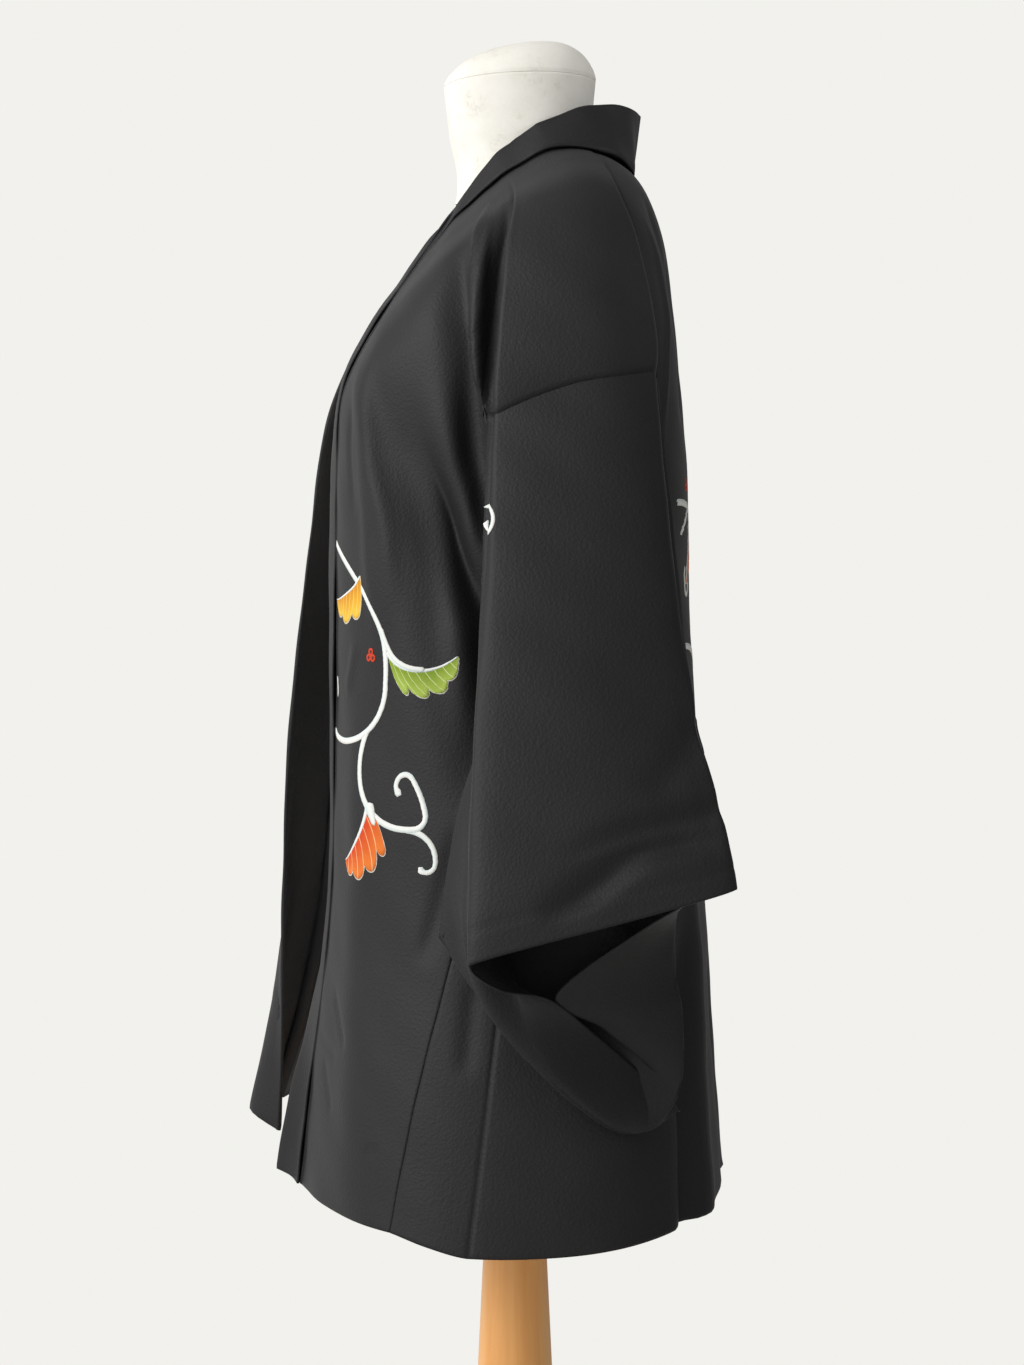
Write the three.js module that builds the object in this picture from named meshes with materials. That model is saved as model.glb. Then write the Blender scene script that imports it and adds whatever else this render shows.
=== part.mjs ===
// A black haori, the jacket of the kimono family, worn by a limbless dress form on a wooden stand.
// Millimetres, +Z up. The wearer faces -Y and the wearer's left is +X. The origin is the middle of
// the underside of the stand's base. Every cloth piece is a wall that follows one surface function.
import * as THREE from "three";

const clothWall = 1.2; // crepe with its hems and seams, as a wall
const seamGap = 0.45; // between two pieces that are sewn together
const collarGap = 0.9; // between the body's edge and the collar's seam edge
const neckGap = 3; // the same round the neck, where the band turns up out of the seam
const collarFold = 1.7; // half of the doubled collar band's thickness

// ---------- small mathematics ----------

const lerp = (a, b, t) => a + (b - a) * t;
const clamp = (x, low, high) => Math.min(high, Math.max(low, x));
const smooth = (t) => {
  const x = clamp(t, 0, 1);
  return x * x * (3 - 2 * x);
};
const radians = (degrees) => (degrees * Math.PI) / 180;
const add = (a, b, scale = 1) => a.map((value, i) => value + b[i] * scale);
const cross = (a, b) => [
  a[1] * b[2] - a[2] * b[1],
  a[2] * b[0] - a[0] * b[2],
  a[0] * b[1] - a[1] * b[0],
];
const dot = (a, b) => a[0] * b[0] + a[1] * b[1] + a[2] * b[2];
const unit = (a) => {
  const length = Math.hypot(...a) || 1;
  return a.map((value) => value / length);
};

// Catmull-Rom between four values.
function bend(p0, p1, p2, p3, t) {
  const a = 2 * p1;
  const b = p2 - p0;
  const c = 2 * p0 - 5 * p1 + 4 * p2 - p3;
  const d = 3 * p1 - p0 - 3 * p2 + p3;
  return 0.5 * (a + b * t + c * t * t + d * t * t * t);
}

// A smooth value through a list, at position 0 .. list.length - 1, or round and round if closed.
function through(list, position, closed = false) {
  const n = list.length;
  const at = (i) => (closed ? list[((i % n) + n) % n] : list[clamp(i, 0, n - 1)]);
  const i = closed ? Math.floor(position) : clamp(Math.floor(position), 0, n - 2);
  const t = position - i;
  if (Array.isArray(list[0])) {
    return list[0].map((_, k) => bend(at(i - 1)[k], at(i)[k], at(i + 1)[k], at(i + 2)[k], t));
  }
  return bend(at(i - 1), at(i), at(i + 1), at(i + 2), t);
}

// A short table: the names of its columns, and a list of numbers for each row.
const tableOf = (columns, rows) =>
  rows.map((row) => Object.fromEntries(columns.split(" ").map((name, i) => [name, row[i]])));

// ---------- walls from grids of points ----------

// A closed wall whose outer face runs through grid[row][column]; cells can be left out. The outer
// face is the one seen with the rows running down and the columns to the left, unless turned.
function wallFromGrid(grid, thickness, options = {}) {
  const { wrap = false, keep = () => true, seamColumn = -1, turned = false } = options;
  const rows = grid.length;
  const columns = grid[0].length;
  const cellColumns = wrap ? columns : columns - 1;
  const kept = (j, i) => {
    if (j < 0 || j >= rows - 1) return false;
    if (!wrap && (i < 0 || i >= cellColumns)) return false;
    return keep(j, (i + columns) % columns);
  };
  const next = (i) => (i + 1) % columns;
  const normals = grid.map((row) => row.map(() => [0, 0, 0]));
  for (let j = 0; j < rows - 1; j++) {
    for (let i = 0; i < cellColumns; i++) {
      if (!kept(j, i)) continue;
      const corners = [[j, i], [j, next(i)], [j + 1, next(i)], [j + 1, i]];
      const [a, b, c, d] = corners.map(([r, k]) => grid[r][k]);
      const facing = cross(add(c, a, -1), add(d, b, -1));
      const normal = unit(facing).map((value) => (turned ? -value : value));
      for (const [r, k] of corners) normals[r][k] = add(normals[r][k], normal);
    }
  }
  const outer = [];
  const inner = [];
  for (let j = 0; j < rows; j++) {
    for (let i = 0; i < columns; i++) {
      const direction = normals[j][i];
      if (i === seamColumn) direction[0] = 0;
      outer.push(grid[j][i]);
      inner.push(add(grid[j][i], unit(direction), -thickness));
    }
  }
  const points = [...outer, ...inner];
  const back = outer.length;
  const id = (j, i) => j * columns + i;
  const triangles = [];
  const quad = (a, b, c, d) => triangles.push([a, b, c], [a, c, d]);
  for (let j = 0; j < rows - 1; j++) {
    for (let i = 0; i < cellColumns; i++) {
      if (!kept(j, i)) continue;
      const k = next(i);
      quad(id(j, i), id(j, k), id(j + 1, k), id(j + 1, i));
      quad(id(j + 1, i) + back, id(j + 1, k) + back, id(j, k) + back, id(j, i) + back);
      if (!kept(j - 1, i)) quad(id(j, k), id(j, i), id(j, i) + back, id(j, k) + back);
      if (!kept(j + 1, i)) quad(id(j + 1, i), id(j + 1, k), id(j + 1, k) + back, id(j + 1, i) + back);
      if (!kept(j, i - 1)) quad(id(j, i), id(j + 1, i), id(j + 1, i) + back, id(j, i) + back);
      if (!kept(j, i + 1)) quad(id(j + 1, k), id(j, k), id(j, k) + back, id(j + 1, k) + back);
    }
  }
  return solidGeometry(points, triangles);
}

// Only the used points are kept, and the faces are turned outwards.
function solidGeometry(points, triangles) {
  const used = new Map();
  const positions = [];
  const index = [];
  for (const triangle of triangles) {
    for (const vertex of triangle) {
      if (!used.has(vertex)) {
        used.set(vertex, used.size);
        positions.push(...points[vertex]);
      }
      index.push(used.get(vertex));
    }
  }
  let volume = 0;
  for (const [a, b, c] of triangles) volume += dot(points[a], cross(points[b], points[c]));
  if (volume < 0) {
    for (let i = 0; i < index.length; i += 3) [index[i + 1], index[i + 2]] = [index[i + 2], index[i + 1]];
  }
  const geometry = new THREE.BufferGeometry();
  geometry.setAttribute("position", new THREE.Float32BufferAttribute(positions, 3));
  geometry.setIndex(index);
  return geometry;
}

// A solid from closed rings, capped at both ends with a fan.
function solidFromRings(rings) {
  const n = rings[0].length;
  const points = rings.flat();
  const triangles = [];
  for (let j = 0; j < rings.length - 1; j++) {
    for (let i = 0; i < n; i++) {
      const k = (i + 1) % n;
      triangles.push([j * n + i, j * n + k, (j + 1) * n + k]);
      triangles.push([j * n + i, (j + 1) * n + k, (j + 1) * n + i]);
    }
  }
  const middle = (ring) => ring.reduce((sum, p) => add(sum, p, 1 / n), [0, 0, 0]);
  const top = points.push(middle(rings[0])) - 1;
  const bottom = points.push(middle(rings[rings.length - 1])) - 1;
  const last = (rings.length - 1) * n;
  for (let i = 0; i < n; i++) {
    const k = (i + 1) % n;
    triangles.push([top, k, i]);
    triangles.push([bottom, last + i, last + k]);
  }
  return solidGeometry(points, triangles);
}

// ---------- sections ----------

// A section is a rounded rectangle seen from above. Turn runs from -90 at the middle of the front
// through 0 at the side to 90 at the middle of the back.
//   half: half width; middle: where the widest place lies; front, back: the furthest cloth in Y
//   low, high: heights at the front edge and at the back; lift: how far the side stands above them
//   edgeY, edgeTurn: where the front edge lies; a whole ring has it at the middle of the front
//   square, squareBack: 2 is an ellipse, more is squarer, in front of and behind the side
function sectionPoint(section, turn) {
  const { half, middle, front, back, low, high, lift, edgeY = front, edgeTurn = -90 } = section;
  const c = Math.cos(radians(turn));
  const s = Math.sin(radians(turn));
  const power = s < 0 ? section.square : section.squareBack;
  const reach = (Math.abs(c) ** power + Math.abs(s) ** power) ** (-1 / power);
  const x = half * reach * c;
  const y = middle + (s < 0 ? middle - front : back - middle) * reach * s;
  const sideways = Math.cos(radians(90 * clamp(turn / (s < 0 ? edgeTurn : 90), 0, 1))) ** 2;
  const z = lerp(low, high, (y - edgeY) / (back - edgeY)) + lift * sideways;
  return [x, y, z];
}

// The turn at which a section reaches a given depth y near its side.
function turnAtDepth(section, y) {
  let low = -89;
  let high = 89;
  for (let step = 0; step < 30; step++) {
    const turn = (low + high) / 2;
    if (sectionPoint(section, turn)[1] < y) low = turn;
    else high = turn;
  }
  return (low + high) / 2;
}

function rowAt(table, position) {
  const row = {};
  for (const key of Object.keys(table[0])) {
    row[key] = through(table.map((entry) => entry[key]), position);
  }
  return row;
}

// ---------- the two body lengths ----------

// One row for each level, from the neck opening down to the hem. edgeX, edgeY: the front edge.
// fore, aft: the flap over the shoulder lies between these depths down to row 4; from row 6 down
// they are the two gusset seams, and between rows 4 and 6 the armhole. rise: how far the flap
// stands out. The flap's foot lies "foot" further out in Y.
const bodyRows = tableOf("edgeX edgeY low high lift half middle back square squareBack fore aft rise foot", [
  [57,    -45, 1318, 1357,  24,  66, 22,  80, 4.4, 2.1,  -8,  52,  0, 4],
  [60,    -78, 1272, 1334,  38, 111, 28,  98,   3, 2.3,  -6,  60,  1, 5],
  [61,   -108, 1226, 1298,  50, 148, 30, 108, 2.9, 2.7,  -5,  68,  8, 6],
  [61,   -125, 1186, 1256,  42, 167, 32, 114, 2.8, 3.2,  -9,  82, 17, 7],
  [61,   -128, 1128, 1200,   3, 177, 35, 118, 2.7, 3.6, -11,  92, 23, 6],
  [62, -128.5, 1070, 1118,   0, 178, 28, 124, 2.6, 3.2,   1,  56,  0, 4],
  [64,   -129, 1010, 1030,   0, 177, 22, 126, 2.5, 2.7,   9,  23,  0, 0],
  [66, -129.5,  905,  920,   0, 182, 20, 132, 2.5, 2.7, -16,   8,  0, 0],
  [66,   -131,  807,  820,  -5, 193, 18, 137, 2.5, 2.7, -40,  -6,  0, 0],
  [64,   -133,  711,  728, -13, 213, 16, 143, 2.6, 2.8, -65, -19,  0, 0],
  [62,   -136,  611,  638, -17, 233, 14, 149, 2.7, 2.9, -84, -32,  0, 0],
]);
// The right front hangs further forward and flares at the hem.
const rightEdges = tableOf("edgeX edgeY low", [
  [57,  -45, 1318],
  [60,  -80, 1272],
  [61, -110, 1226],
  [63, -127, 1186],
  [66, -131, 1128],
  [68, -132, 1070],
  [70, -133, 1010],
  [72, -136,  905],
  [75, -143,  808],
  [83, -160,  718],
  [92, -182,  634],
]);
// How far the hem stands above its section's plane, half a place apart.
const hemRise = [0, 11, 9, 9, 9, 4, -1, -1, -1, -6, -2];
const flapRow = 4; // the flap ends here, at the sleeve seam
const underarmRow = 6; // the gusset starts here
const hemRow = bodyRows.length - 1;

// Folds: from row "top" to row "foot", at a turn that changes evenly between "start" and "end",
// standing out by "depth" millimetres (less than nothing is a trough), half as wide as "width".
const foldColumns = "top foot start end depth width";
const folds = {
  left: tableOf(foldColumns, [
    [0.9,  5.2, -25, -17.5,    6,  4],
    [0.9,  5.0, -31,   -24,   -5,  8],
    [1.9,  6.2, -29,   -14,   -4, 11],
    [2.4,  6.4, -54,   -43,    4, 11],
    [3.0,  7.2, -49,   -22,   -7, 15],
    [6.2, 10.4, -52,   -47,    4, 22],
    [7.9,   11,  47,    40,  -15,  7],
    [7.4,   11,  55,    47,    6, 11],
    [8.2,   11,  72,    66,   -5,  9],
    [2.4,  4.9,  62,    60, -3.5,  9],
  ]),
  right: tableOf(foldColumns, [
    [0.9,  5.0, -27, -19,   6, 4.5],
    [0.9,  4.8, -33, -26,  -5,   8],
    [2.2,  6.6, -45, -24,  -6,  14],
    [2.8,  6.2, -56, -48,   4,  12],
    [6.0, 10.2, -48, -52,  -5,  18],
    [7.6,   11,  50,  44, -12,   8],
    [7.2,   11,  60,  53,   5,  12],
    [2.5,  4.7,  60,  57,  -3,  10],
  ]),
};

function bodySection(side, row) {
  const section = rowAt(bodyRows, row);
  if (side < 0) Object.assign(section, rowAt(rightEdges, row));
  const { half, middle, edgeX, edgeY, square } = section;
  const share = (1 - (edgeX / half) ** square) ** (1 / square);
  section.front = middle - (middle - edgeY) / share;
  section.edgeTurn = -THREE.MathUtils.radToDeg(Math.atan2(share, edgeX / half));
  return section;
}

const clothRadius = 165; // how far the cloth lies from the middle, for the widths of the folds

function foldHeight(side, row, turn) {
  let height = 0;
  for (const fold of side > 0 ? folds.left : folds.right) {
    const along = (row - fold.top) / (fold.foot - fold.top);
    if (along <= 0 || along >= 1) continue;
    const away = radians(turn - lerp(fold.start, fold.end, along)) * clothRadius;
    const ends = smooth(along * 4) * smooth((1 - along) * 3);
    height += fold.depth * ends * Math.exp(-((away / fold.width) ** 2));
  }
  return height;
}

// place: 0 front edge, 1 foot of the flap in front or front gusset seam, 2 and 3 the flap's two
// edges, 4 foot of the flap behind or back gusset seam, 5 centre back.
function bodyPoint(side, place, row) {
  const section = bodySection(side, row);
  const turns = [
    section.edgeTurn,
    turnAtDepth(section, section.fore - section.foot),
    turnAtDepth(section, section.fore),
    turnAtDepth(section, section.aft),
    turnAtDepth(section, section.aft + section.foot),
    90,
  ];
  const i = clamp(Math.floor(place), 0, 4);
  const turn = lerp(turns[i], turns[i + 1], place - i);
  const [x, y, z] = sectionPoint(section, turn);
  const onFlap = row <= flapRow + 0.001 ? smooth(place - 1) * smooth(4 - place) : 0;
  const depth = section.back - section.middle;
  const outward = unit([x / section.half ** 2, (y - section.middle) / depth ** 2, 0]);
  const height = foldHeight(side, row, turn) * (1 - onFlap);
  const wide = x + outward[0] * height + section.rise * onFlap;
  const hem = through(hemRise, place * 2) * smooth((row - 8) / 2);
  return [side * Math.max(wide, seamGap / 2), y + outward[1] * height, z + hem];
}

// Columns of the body grid: fine beside the flap, where the cloth folds most.
function spread(from, to, count, power = 1) {
  return Array.from({ length: count }, (_, i) => lerp(from, to, 1 - (1 - i / count) ** power));
}
const bodyPlaces = [
  ...spread(0, 1, 9, 1.5),
  ...spread(1, 2, 3),
  ...spread(2, 3, 5),
  ...spread(3, 4, 3),
  ...spread(4, 5, 9, 0.8),
  5,
];
const bodyLevels = [];
for (let row = 0; row < flapRow; row += 1 / 3) bodyLevels.push(row);
for (let row = flapRow; row <= hemRow + 0.001; row += 1 / 2) bodyLevels.push(row);

function bodyHalf(side) {
  const grid = bodyLevels.map((row) => bodyPlaces.map((place) => bodyPoint(side, place, row)));
  const keep = (j, i) => {
    const row = bodyLevels[j];
    const place = bodyPlaces[i];
    return row < flapRow - 0.001 || place < 0.999 || place > 3.999;
  };
  return wallFromGrid(grid, clothWall, { keep, seamColumn: bodyPlaces.length - 1, turned: side > 0 });
}

// ---------- gussets ----------

function gusset(side) {
  const across = 3;
  const levels = [underarmRow + 0.05];
  for (let row = underarmRow + 0.5; row <= hemRow; row += 0.5) levels.push(row);
  const grid = levels.map((row) => {
    const fore = bodyPoint(side, 2, row);
    const aft = bodyPoint(side, 3, row);
    const edge = (1.4 * seamGap) / Math.hypot(aft[0] - fore[0], aft[1] - fore[1]);
    return Array.from({ length: across + 1 }, (_, i) =>
      bodyPoint(side, lerp(2 + edge, 3 - edge, i / across), row)
    );
  });
  return wallFromGrid(grid, clothWall, { turned: side > 0 });
}

// ---------- sleeves ----------

const armholeHalf = 230; // sewn from the shoulder line to the underarm
const sleeveDrop = 490; // from the shoulder line to the sleeve's bottom seam
const flapHalf = 52; // half of the flap's lower edge
const flapFoot = 74; // the armhole runs down the body from here
const furiCorner = [206, -51, 814]; // the free lower corner on the body side
const furiBow = 12; // how far the open edge bellies to the front and to the back
const sleeveOff = 1.6; // the sleeve's edge stands this far outside the body's edge beside the flap
const sleeveOffLow = 2.2; // and this far at the underarm

// The sleeve's first edge, sewn to the armhole and then free. v is the way round from the
// shoulder line, less than nothing in front.
function sleeveTop(side, v) {
  const back = v > 0;
  const way = Math.abs(v);
  const towards = back ? -1 : 1;
  if (way <= flapHalf) {
    const p = bodyPoint(side, 2.5 + v / flapHalf / 2, flapRow);
    return [p[0], p[1], p[2] - seamGap];
  }
  if (way <= flapFoot) {
    const step = (way - flapHalf) / (flapFoot - flapHalf);
    const p = bodyPoint(side, back ? 3 + step : 2 - step, flapRow);
    const apart = towards * seamGap * step * 1.5;
    return [p[0] + side * step * sleeveOff, p[1] + apart, p[2] - seamGap * (1 + step)];
  }
  const down = (Math.min(way, armholeHalf) - flapFoot) / (armholeHalf - flapFoot);
  const p = bodyPoint(side, back ? 4 : 1, lerp(flapRow, underarmRow, down));
  const off = side * lerp(sleeveOff, sleeveOffLow, down);
  const joined = [p[0] + off, p[1] + towards * seamGap * 1.5, p[2]];
  if (way <= armholeHalf) return joined;
  const free = (way - armholeHalf) / (sleeveDrop - armholeHalf); // 1 at the corner
  const corner = [side * furiCorner[0], furiCorner[1], furiCorner[2]];
  const hang = joined.map((value, k) => lerp(value, corner[k], free));
  const bow = Math.sin(Math.PI * free) * furiBow;
  return [hang[0] + side * bow * 0.35, hang[1] - towards * bow, hang[2]];
}

// Threads that run from the armhole to the cuff, one row each, by their way round from the
// shoulder line: where each passes half way down, a hand above the cuff, and at the cuff edge.
const sleeveThreads = tableOf("v half low cuff", [
  [   0,  [251, 46, 1003],  [291, 60, 876],  [301, 64, 834]],
  [  52,  [247, 91, 1000], [287, 111, 884], [297, 117, 848]],
  [  85,  [232, 112, 993], [272, 134, 888], [286, 142, 855]],
  [ 150,   [207, 88, 960], [238, 113, 858], [256, 110, 843]],
  [ 230,   [208, 62, 905], [228, 106, 808],  [245, 28, 784]],
  [ 330,   [211, 30, 835], [221, 112, 760],  [232, 58, 757]],
  [ 430,    [216, 4, 778], [216, 104, 712],  [216, 90, 728]],
  [ 490,   [228, -7, 757],  [220, 70, 688], [207, 110, 699]],
  [-430,  [240, -20, 774],  [236, 54, 700],  [215, 87, 723]],
  [-330,  [243, -32, 815],  [248, 15, 745],  [232, 55, 752]],
  [-230,  [224, -16, 905],  [250, -2, 796],  [246, 22, 779]],
  [-150,  [214, -17, 965], [262, -20, 833], [275, -10, 789]],
  [ -85, [232, -25, 1000], [278, -30, 850], [292, -29, 804]],
  [ -52, [246, -14, 1003], [288, -16, 861], [299, -17, 812]],
]);

// A value for any v, from the threads on both sides of it, going once round the sleeve.
function acrossThreads(key, v) {
  const round = 2 * sleeveDrop;
  const way = (x) => (x + round) % round;
  const i = sleeveThreads.findLastIndex((thread) => way(thread.v) <= way(v));
  const from = way(sleeveThreads[i].v);
  const to = i + 1 < sleeveThreads.length ? way(sleeveThreads[i + 1].v) : round;
  return through(sleeveThreads.map((thread) => thread[key]), i + (way(v) - from) / (to - from), true);
}

// Where the columns of the sleeve's grid run, from the shoulder line round and back to it.
function sleeveColumns() {
  const flap = [0.2, 0.6, 1].map((share) => share * flapHalf);
  const step = [1 / 3, 2 / 3, 1].map((share) => lerp(flapHalf, flapFoot, share));
  const seam = [0.25, 0.5, 0.75, 1].map((share) => lerp(flapFoot, armholeHalf, share));
  const open = [0.2, 0.4, 0.6, 0.8].map((share) => lerp(armholeHalf, sleeveDrop, share));
  const back = [...flap, ...step, ...seam, ...open];
  return [...back, sleeveDrop, ...back.map((v) => -v).reverse()];
}

const sleeveKnots = [0, 0.5, 0.88, 1]; // where "half", "low" and "cuff" lie along a thread

function sleevePoint(side, v, down) {
  const stops = ["half", "low", "cuff"].map((key) => acrossThreads(key, v));
  const path = [sleeveTop(side, v), ...stops.map(([x, y, z]) => [side * x, y, z])];
  const k = down < sleeveKnots[1] ? 0 : down < sleeveKnots[2] ? 1 : 2;
  return through(path, k + (down - sleeveKnots[k]) / (sleeveKnots[k + 1] - sleeveKnots[k]));
}

function sleeve(side) {
  const levels = [0, 0.05, 0.12, 0.22, 0.35, 0.5, 0.62, 0.74, 0.84, 0.93, 1];
  const grid = levels.map((down) => sleeveColumns().map((v) => sleevePoint(side, v, down)));
  return wallFromGrid(grid, clothWall, { wrap: true, turned: side > 0 });
}

// ---------- collar ----------

// The collar is a doubled band. Stations run along the seam and fold is the band's folded edge. In
// front its other edge lies back on the seam; round the neck that edge, "free", hangs outside.
// row: where the station meets the front edge of the body; bow: how far the band bulges.
const leftFront = tableOf("row fold bow", [
  [ 10,  [30, -173, 623], 0],
  [9.4,  [33, -163, 676], 1],
  [8.7,  [30, -146, 744], 2],
  [  8,  [13, -135, 812], 2],
  [  7,  [11, -133, 908], 2],
  [  6, [10, -133, 1012], 3],
  [4.7,  [8, -134, 1092], 3],
  [3.7,  [8, -131, 1160], 3],
  [  3, [12, -124, 1203], 2],
  [  2, [25, -101, 1246], 2],
  [  1,  [43, -72, 1285], 0],
]);
const rightFront = tableOf("row fold bow", [
  [ 10,  [36, -178, 637], 23],
  [9.3,  [36, -176, 694], 21],
  [8.5,  [36, -176, 762], 18],
  [7.8,  [36, -175, 830], 10],
  [  7,  [35, -172, 914],  3],
  [  6, [33, -162, 1020],  0],
  [4.7, [31, -152, 1100],  0],
  [3.7, [30, -144, 1158],  0],
  [  3, [31, -131, 1202],  1],
  [  2, [34, -107, 1248],  1],
  [  1,  [45, -79, 1286],  0],
]);
// Round the neck the seam follows row 0 of the body; place is the position along it.
const neckHalf = tableOf("place fold free bow", [
  [  0, [54, -42, 1327], [74, -43, 1327], 0],
  [  1, [60, -14, 1362], [87, -12, 1346], 0],
  [2.6,  [61, 19, 1386],  [97, 24, 1366], 0],
  [4.2,  [52, 56, 1399],  [79, 66, 1364], 0],
  [4.6,  [31, 82, 1402],  [42, 92, 1358], 0],
  [  5,   [0, 91, 1402], [0, 94.5, 1358], 0],
]);

function collarStation(side, entry) {
  const row = entry.row ?? 0;
  const place = entry.place ?? 0;
  const seat = bodyPoint(side, place, row);
  const mirror = (p) => [side * p[0], p[1], p[2]];
  const fold = mirror(entry.fold);
  if (place === 5) seat[0] = 0;
  const up = unit(add(fold, seat, -1));
  // The seam edge stands just off the body's own edge, along the band.
  const clear = add(seat, up, row > 0 ? collarGap : neckGap);
  if (entry.free) return [clear, fold, mirror(entry.free), [entry.bow, 0, 0]];
  const across = add(bodyPoint(side, place + 0.02, row), seat, -1);
  const down = add(bodyPoint(side, place, row + 0.05), seat, -1);
  const outward = unit(cross(down, across).map((value) => value * side));
  const square = unit(add(outward, up, -dot(outward, up)));
  return [clear, fold, add(clear, square, 2 * collarFold), [entry.bow, 0, 0]];
}

function collar() {
  const left = [...leftFront, ...neckHalf].map((entry) => collarStation(1, entry));
  const right = [...rightFront, ...neckHalf.slice(0, -1)].map((entry) => collarStation(-1, entry));
  const stations = [...left, ...right.reverse()];
  const legSteps = 3;
  const neckStart = leftFront.length - 1;
  const neckEnd = stations.length - 1 - neckStart;
  const positions = [];
  for (let at = 0; at < stations.length; at += at >= neckStart && at < neckEnd ? 0.5 : 1) positions.push(at);
  const grid = [];
  for (const at of positions) {
    const parts = [0, 1, 2, 3].map((k) => through(stations.map((station) => station[k]), at));
    const [seat, fold, free, [bow]] = parts;
    const along = unit(add(fold, seat, -1));
    const toFree = add(free, seat, -1);
    const outward = unit(add(toFree, along, -dot(toFree, along)));
    const tip = add(fold, along, -collarFold);
    const turned = add(tip, outward, 2 * collarFold);
    const row = [];
    for (let i = 0; i <= legSteps; i++) {
      const t = i / legSteps;
      row.push(add(seat.map((v, k) => lerp(v, tip[k], t)), outward, Math.sin(Math.PI * t) * bow));
    }
    for (const turn of [45, 90, 135]) {
      const short = collarFold * (1 - Math.sin(radians(turn)));
      const high = collarFold * (1 - Math.cos(radians(turn)));
      row.push(add(add(fold, along, -short), outward, high));
    }
    for (let i = 0; i <= legSteps; i++) {
      const t = i / legSteps;
      row.push(add(turned.map((v, k) => lerp(v, free[k], t)), outward, Math.sin(Math.PI * t) * bow));
    }
    grid.push(row);
  }
  return wallFromGrid(grid, clothWall);
}

// ---------- dress form ----------

// Sections of the padded torso, from the neck down, in the same terms as the cloth's sections.
const neckRows = tableOf("low high lift half middle front back square", [
  [1421, 1425, 1, 51,  4, -53, 60, 2.1],
  [1386, 1398, 0, 50,  6, -49, 58, 2.1],
  [1350, 1372, 2, 53, 12, -43, 61, 2.1],
]);
// Under the shoulders the torso repeats the cloth's rows, this much lower and further in.
const shoulderRows = tableOf("row sink side front back", [
  [0, 2.6, 2.4, 7,   2],
  [1, 2.2, 0.5, 7, 1.2],
  [2, 2.6, 1.4, 9, 2.2],
  [3,   3,  10, 9,   4],
]);
const trunkRows = tableOf("low high lift half middle front back square", [
  [1140, 1196, 4, 158, 24, -118, 108, 2.3],
  [1080, 1100, 0, 146, 14, -112, 102, 2.2],
  [1010, 1010, 0, 126,  6,  -92,  90, 2.2],
  [ 930,  930, 0, 126,  6,  -88,  92, 2.2],
  [ 840,  840, 0, 152,  6,  -98, 106, 2.3],
  [ 760,  760, 0, 163,  4, -102, 108, 2.3],
  [ 690,  690, 0, 158,  2, -100, 104, 2.3],
]);

const formKeys =
  "low high lift half middle front back square squareBack edgeY edgeTurn".split(" ");

function underCloth({ row, sink, side, front, back }) {
  const cloth = bodySection(1, row);
  const section = Object.fromEntries(formKeys.map((key) => [key, cloth[key]]));
  section.low -= sink;
  section.high -= sink;
  section.half -= side;
  section.front += front;
  section.back -= back;
  return section;
}

const ownRow = (row) => ({ ...row, squareBack: row.square, edgeY: row.front, edgeTurn: -90 });
const formRows = [...neckRows.map(ownRow), ...shoulderRows.map(underCloth), ...trunkRows.map(ownRow)];
const formBottom = trunkRows[trunkRows.length - 1].low;
const ringSteps = 40;

function formRing(table, position) {
  const section = rowAt(table, position);
  return Array.from({ length: ringSteps }, (_, i) => {
    const turn = (i / ringSteps) * 360 - 90;
    const folded = turn > 90 ? 180 - turn : turn;
    const [x, y, z] = sectionPoint(section, folded);
    return [turn > 90 ? -x : x, y, z];
  });
}

function formTorso() {
  const rings = [];
  for (let row = 0; row < formRows.length - 0.99; row += 0.5) rings.push(formRing(formRows, row));
  return solidFromRings(rings);
}

// The cap is a shallow dome, highest behind its middle, as the neck's top is.
const capRows = tableOf("scale high shift", [
  [0.12,    32.5,  15],
  [0.35,      31,  13],
  [ 0.6,      26,   8],
  [ 0.8,      19,   4],
  [0.94,      10, 1.5],
  [   1,       3, 0.3],
  [   1, seamGap,   0],
]);

function formCap() {
  const rim = formRing(formRows, 0);
  const { middle, low } = neckRows[0];
  const rings = capRows.map(({ scale, high, shift }) =>
    rim.map(([x, y, z]) => [x * scale, lerp(middle, y, scale) + shift, lerp(low, z, scale) + high])
  );
  return solidFromRings(rings);
}

const plateThick = 16;

function formPlate() {
  const rim = formRing(formRows, formRows.length - 1);
  const ring = (scale, z) => rim.map(([x, y]) => [x * scale, y * scale, z]);
  const top = formBottom - seamGap;
  const bevel = 2;
  return solidFromRings([
    ring(0.94, top),
    ring(0.95, top - bevel),
    ring(0.95, top - plateThick + bevel),
    ring(0.94, top - plateThick),
  ]);
}

// ---------- stand ----------

const poleTop = formBottom - seamGap - plateThick - seamGap;
const baseHeight = 30;
const baseRadius = 190;

function turned(profile, segments) {
  const outline = profile.map(([radius, z]) => new THREE.Vector2(radius, z));
  const geometry = new THREE.LatheGeometry(outline, segments);
  geometry.rotateX(Math.PI / 2);
  return geometry;
}

// The pole widens evenly downwards and ends in a turned foot that stands on the base.
const standPole = () =>
  turned(
    [
      [0, baseHeight + seamGap],
      [44, baseHeight + seamGap],
      [46, baseHeight + 4],
      [46, baseHeight + 16],
      [40, baseHeight + 24],
      [34, baseHeight + 34],
      [33, 300],
      [27.6, 470],
      [23.9, 548],
      [20, 640],
      [19, poleTop],
      [0, poleTop],
    ],
    28
  );

const standBase = () =>
  turned(
    [
      [0, 0],
      [baseRadius - 4, 0],
      [baseRadius, 4],
      [baseRadius, 18],
      [baseRadius - 8, 27],
      [baseRadius - 20, baseHeight],
      [0, baseHeight],
    ],
    48
  );

// ---------- the object ----------

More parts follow.
